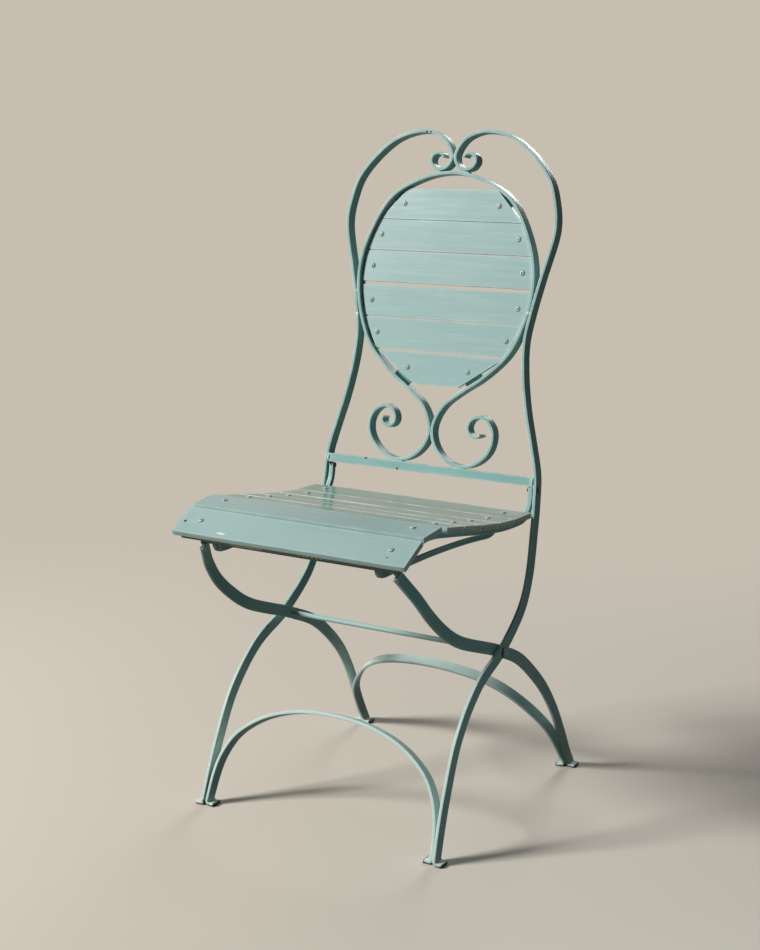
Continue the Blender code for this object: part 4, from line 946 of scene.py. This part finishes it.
def screw(board_thick, plate, matrix):
    nut_top = -(board_thick + plate + 2 * TOUCH)
    end = nut_top - 0.0042
    profile = RECESS + HEAD + [(SHANK, 0.00005), (SHANK, nut_top - 0.0034), (SHANK_TIP, end), (0.0, end)]
    body = turned(profile, Matrix.Identity(4), 24)
    edge = body.verts.layers.float.new("edge")
    grime_and_shade = body.verts.layers.float.new("grime_and_shade")
    # The top of the dome and the washer's rim are pale: wear, and a painted highlight. The hollow in the
    # middle and the crease round the dome are darker: dirt and painted shade.
    for vert in body.verts:
        out = vert.co.xy.length
        vert[edge] = 0.9 if vert.co.z > 0.0012 or out > 0.0040 else 0.1
        vert[grime_and_shade] = 1.0 if out < 0.0011 or 0.0033 < out < 0.0037 else 0.0
    nut = bmesh.new()
    bmesh.ops.create_cone(nut, cap_ends=True, segments=6, radius1=NUT_RADIUS, radius2=NUT_RADIUS,
                          depth=NUT_DEPTH, matrix=Matrix.Translation((0, 0, nut_top - NUT_DEPTH / 2)))
    soften(nut, nut.edges[:], 0.0003)
    return placed(joined([body, nut]), matrix)


def board_screw(node, word):
    """The screw on one side of a board, and its middle as seen from the middle of the board."""
    name = node.replace("back_board", "back_screw") if node in BACK_BOARDS else f"{node}_screw"
    low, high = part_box(f"{name}_{word}")
    return f"{name}_{word}", places[node][0].inverted() @ ((low + high) / 2 - REARWARD * BACK_SHIFT)


for node, (place, size) in places.items():
    body = "seat" if node in SEAT_BOARDS else "long_frame"
    plate = TIE_THICK if node == "front_board" else LUG_THICK
    on_top = size.z / 2 + (ON_RAISED if node in SAT_ON else 0.0)
    for side, word in SIDES:
        name, local = board_screw(node, word)
        spot = place @ Matrix.Translation((local.x, local.y, on_top))
        dressed(screw(size.z, plate, spot), name, body, screw_paint)


# %% Lugs
def lug(length, width, matrix):
    bm = block((length, width, LUG_THICK))
    soften(bm, bm.edges[:], 0.0005)
    return placed(bm, matrix)


PAST_SCREW = 0.0075
END_LUG_WIDTH, BACK_LUG_WIDTH, SEAT_LUG_WIDTH = 0.030, 0.022, 0.014
back_lugs, seat_lugs = [], []
for node in BACK_BOARDS:
    place, size = places[node]
    width = END_LUG_WIDTH if node in (BACK_BOARDS[0], BACK_BOARDS[-1]) else BACK_LUG_WIDTH
    for side, word in SIDES:
        _, local = board_screw(node, word)
        under = place @ Vector((local.x, local.y, -size.z / 2 - TOUCH - LUG_THICK / 2))
        bars = right_half if side > 0 else left_half
        normal = place.to_3x3().col[2]
        flat = [under + (s - under) - normal * (s - under).dot(normal) for s in bars]
        root = min(flat, key=lambda point: (point - under).length)
        out = (root - under).normalized()
        axes = Matrix((out, normal.cross(out), normal)).transposed().to_4x4()
        length = (root - under).length + PAST_SCREW
        middle = under + out * (length / 2 - PAST_SCREW)
        back_lugs.append(lug(length - 0.001, width, Matrix.Translation(middle) @ axes))
for node in SEAT_BOARDS[1:]:
    place, size = places[node]
    for side, word in SIDES:
        _, local = board_screw(node, word)
        inner, outer = abs(local.x) - PAST_SCREW, RAIL_X
        under = -size.z / 2 - TOUCH - LUG_THICK / 2
        spot = place @ Matrix.Translation((side * (inner + outer) / 2, local.y, under))
        seat_lugs.append(lug(outer - inner, SEAT_LUG_WIDTH, spot))
finished(joined(back_lugs), "back_lugs", "long_frame", frame_paint)
finished(joined(seat_lugs), "seat_lugs", "seat", frame_paint)

# %% [markdown]
# ## Pivots and rods
# One rod runs through both leg frames at the crossing, hammered over outside. A thinner rod
# joins the ears under the seat and slides on the guides. The seat hangs on two short pins.

# %% Turned steel
PIVOT_RADIUS = 0.00375
PIN_RADIUS, PIN_HEAD, PIN_DOME = 0.0024, 0.0045, 0.0018
ROD_RADIUS, ROD_END = 0.0025, 0.1522


def dome(radius, height, base):
    """Profile of a domed head, from its middle down to its base."""
    angles = [math.pi / 2 * i / 5 for i in range(6)]
    return [(radius * math.sin(angle), base + height * math.cos(angle)) for angle in angles]


def both_ends(profile):
    return profile + [(radius, -height) for radius, height in reversed(profile)]


pivot_face = side_x(LEG_PIVOT[1]) + BAR_THICK / 2 + TOUCH
pivot = dome(0.0068, 0.0026, pivot_face) + [(PIVOT_RADIUS, pivot_face)]
pivot += [(PIVOT_RADIUS, pivot_face * (1 - i / 12)) for i in range(1, 12)]
dressed(turned(both_ends(pivot), along_x(0.0, *LEG_PIVOT)), "pivot_rod", "short_frame")
rod = [(0.0, ROD_END), (ROD_RADIUS - 0.0005, ROD_END), (ROD_RADIUS, ROD_END - 0.0005)]
dressed(turned(both_ends(rod), along_x(0.0, *ROD), 16), "slide_rod", "rod")

washer_low, washer_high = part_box("pivot_washer_right")
washer_x = (washer_low.x + washer_high.x) / 2
ring = rounded_disc(0.0085, washer_high.x - washer_low.x, 0.0006, 0.00405)
face = EAR_X + BAR_THICK / 2 + TOUCH
rivet = dome(0.0036, 0.0014, face)
rivet += [(ROD_RADIUS, face), (ROD_RADIUS, face - BAR_THICK), (0.0, face - BAR_THICK)]
rail_in, rail_out = RAIL_X - RAIL_THICK / 2 - TOUCH, RAIL_X + RAIL_THICK / 2 + TOUCH
bar_x = side_x(SEAT_PIVOT[1])
collar_out, bar_out = bar_x - BAR_THICK / 2 - 2 * TOUCH, bar_x + BAR_THICK / 2 + 2 * TOUCH
pin = dome(PIN_HEAD, PIN_DOME, bar_out) + [(PIN_RADIUS, bar_out), (PIN_RADIUS, collar_out)]
pin += [(PIN_HEAD, collar_out), (PIN_HEAD, rail_out), (PIN_RADIUS, rail_out), (PIN_RADIUS, rail_in)]
pin += reversed(dome(PIN_HEAD, -PIN_DOME, rail_in))
for side, word in SIDES:
    dressed(turned(ring, along_x(side * washer_x, *LEG_PIVOT)), f"pivot_washer_{word}", "short_frame")
    shape = turned(rivet, along_x(0.0, *ROD), 16)
    dressed(on_side(shape, side), f"rod_rivet_{word}", "short_frame", bare_steel)
    shape = turned(pin, along_x(0.0, *SEAT_PIVOT), 20)
    dressed(on_side(shape, side), f"seat_pin_{word}", "seat", bare_steel)


# %% [markdown]
# ## Welds
# Where two bars touch, the smith ran a short bead of weld and painted over it. Each bead is a
# small ball, flattened and made lumpy with noise, sunk halfway between the bars.

# %% Weld beads
def bead(place, size, seed):
    bm = bmesh.new()
    bmesh.ops.create_icosphere(bm, subdivisions=3, radius=1.0)
    edge = bm.verts.layers.float.new("edge")
    for vert in bm.verts:
        vert.co *= 1.0 + 0.22 * noise.noise(vert.co * 1.8 + Vector((seed, 0.0, 0.0)))
        vert[edge] = 0.8
    bmesh.ops.scale(bm, vec=size, verts=bm.verts)
    bmesh.ops.rotate(bm, matrix=Matrix.Rotation(-BACK_TILT, 3, "X"), verts=bm.verts)
    bmesh.ops.translate(bm, vec=place, verts=bm.verts)
    return bm


touch_x = oval_x(TOUCH_SIDE) + BAR_THICK / 2
rail_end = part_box("cross_rail")[1].x
middle_welds = ((NECK, (0.0022, 0.0075, 0.0060), 1.0), (LOBE_TOUCH, (0.0024, 0.0072, 0.0055), 2.0))
side_welds = (((BIG_SCROLL_FOOT, RAIL_TOP + 0.0006, 0.0030), (0.0105, 0.0032, 0.0024), 5.0),
              ((SMALL_SCROLL_FOOT, OVAL_TOP + 0.0002, 0.0082), (0.0060, 0.0072, 0.0022), 15.0),
              ((touch_x, TOUCH_SIDE, BAR_DEEP * 0.42), (0.0018, 0.0076, 0.0090), 25.0),
              ((rail_end, RAIL_TOP - 0.0060, 0.0018), (0.0024, 0.0036, 0.0066), 35.0))
beads = [bead(on_back(0.0, height, BAR_DEEP * 0.4), size, seed) for height, size, seed in middle_welds]
for side, _ in SIDES:
    for (x, height, depth), size, seed in side_welds:
        beads.append(bead(on_back(side * x, height, depth), size, seed + side))
finished(joined(beads), "weld_beads", "long_frame", weld_paint)

foot_beads = {"long_frame": [], "short_frame": []}
for side, _ in SIDES:
    for body, x, y in (("long_frame", front_x + 0.0027, FRONT_FOOT + 0.002),
                       ("short_frame", REAR_FOOT_X - 0.0026, REAR_FOOT - 0.003)):
        shape = bead(Vector((side * x, y, 0.014)), (0.0016, 0.0070, 0.0085), 40.0 + side + x)
        foot_beads[body].append(shape)
for body, shapes in foot_beads.items():
    finished(joined(shapes), f"foot_welds_{body}", body, weld_paint)


# %% [markdown]
# ## Floor and backdrop
# The floor is a plain pale disc that keeps the chair's shadow and fades into the backdrop, so
# no line shows where it ends. The backdrop is the world's colour as the camera sees it. What
# the world adds to the lamps is far weaker, an even and slightly blue grey.

# %% Floor
BACKDROP = (0.57, 0.515, 0.435, 1.0)
FLOOR = (0.66, 0.61, 0.53, 1.0)
FLOOR_IN_SHADE = (0.045, 0.040, 0.032, 1.0)  # what it gives back to the chair, as a wooden floor does
FLOOR_RADIUS, FADE_FROM, FADE_TO = 4.0, 0.7, 2.2
bm = bmesh.new()
bmesh.ops.create_circle(bm, cap_ends=True, segments=96, radius=FLOOR_RADIUS)
mesh = bpy.data.meshes.new("floor")
bm.to_mesh(mesh)
bm.free()
floor = linked("floor", mesh)

pale = bpy.data.materials.new("pale_floor")
pale.use_nodes = True
tree = pale.node_tree
surface = tree.nodes["Principled BSDF"]
rays = add(tree, "LightPath")
floor_colour = blend(tree, rays.outputs["Is Diffuse Ray"], FLOOR, FLOOR_IN_SHADE)
feed(tree, surface, {"Base Color": floor_colour, "Roughness": 0.7, "Specular IOR Level": 0.2})
glow = add(tree, "Emission", {"Color": BACKDROP})
length = add(tree, "VectorMath", {0: add(tree, "TexCoord").outputs["Object"]}, operation="LENGTH")
far = soft_step(tree, length.outputs["Value"], FADE_FROM, FADE_TO)
looked_at = calc(tree, "SUBTRACT", 1.0, rays.outputs["Is Diffuse Ray"])
glow_share = calc(tree, "MULTIPLY", far, looked_at)
shares = {0: glow_share, 1: surface.outputs["BSDF"], 2: glow.outputs["Emission"]}
feed(tree, tree.nodes["Material Output"], {"Surface": add(tree, "MixShader", shares).outputs["Shader"]})
mesh.materials.append(pale)

# %% World
WORLD_LIGHT = 0.013
world = bpy.data.worlds.new("studio")
bpy.context.scene.world = world
world.use_nodes = True
tree = world.node_tree
seen = tree.nodes["Background"]
feed(tree, seen, {"Color": BACKDROP, "Strength": 1.0})
lit = add(tree, "Background", {"Color": (0.93, 0.96, 1.0, 1.0), "Strength": WORLD_LIGHT})
rays = add(tree, "LightPath")
seen_in_gloss = calc(tree, "MAXIMUM", rays.outputs["Is Glossy Ray"], rays.outputs["Is Transmission Ray"])
seen_share = calc(tree, "MAXIMUM", rays.outputs["Is Camera Ray"], seen_in_gloss)
shares = {0: seen_share, 1: lit.outputs["Background"], 2: seen.outputs["Background"]}
feed(tree, tree.nodes["World Output"], {"Surface": add(tree, "MixShader", shares).outputs["Shader"]})

bpy.context.scene.view_settings.view_transform = "Standard"

# %% Finish
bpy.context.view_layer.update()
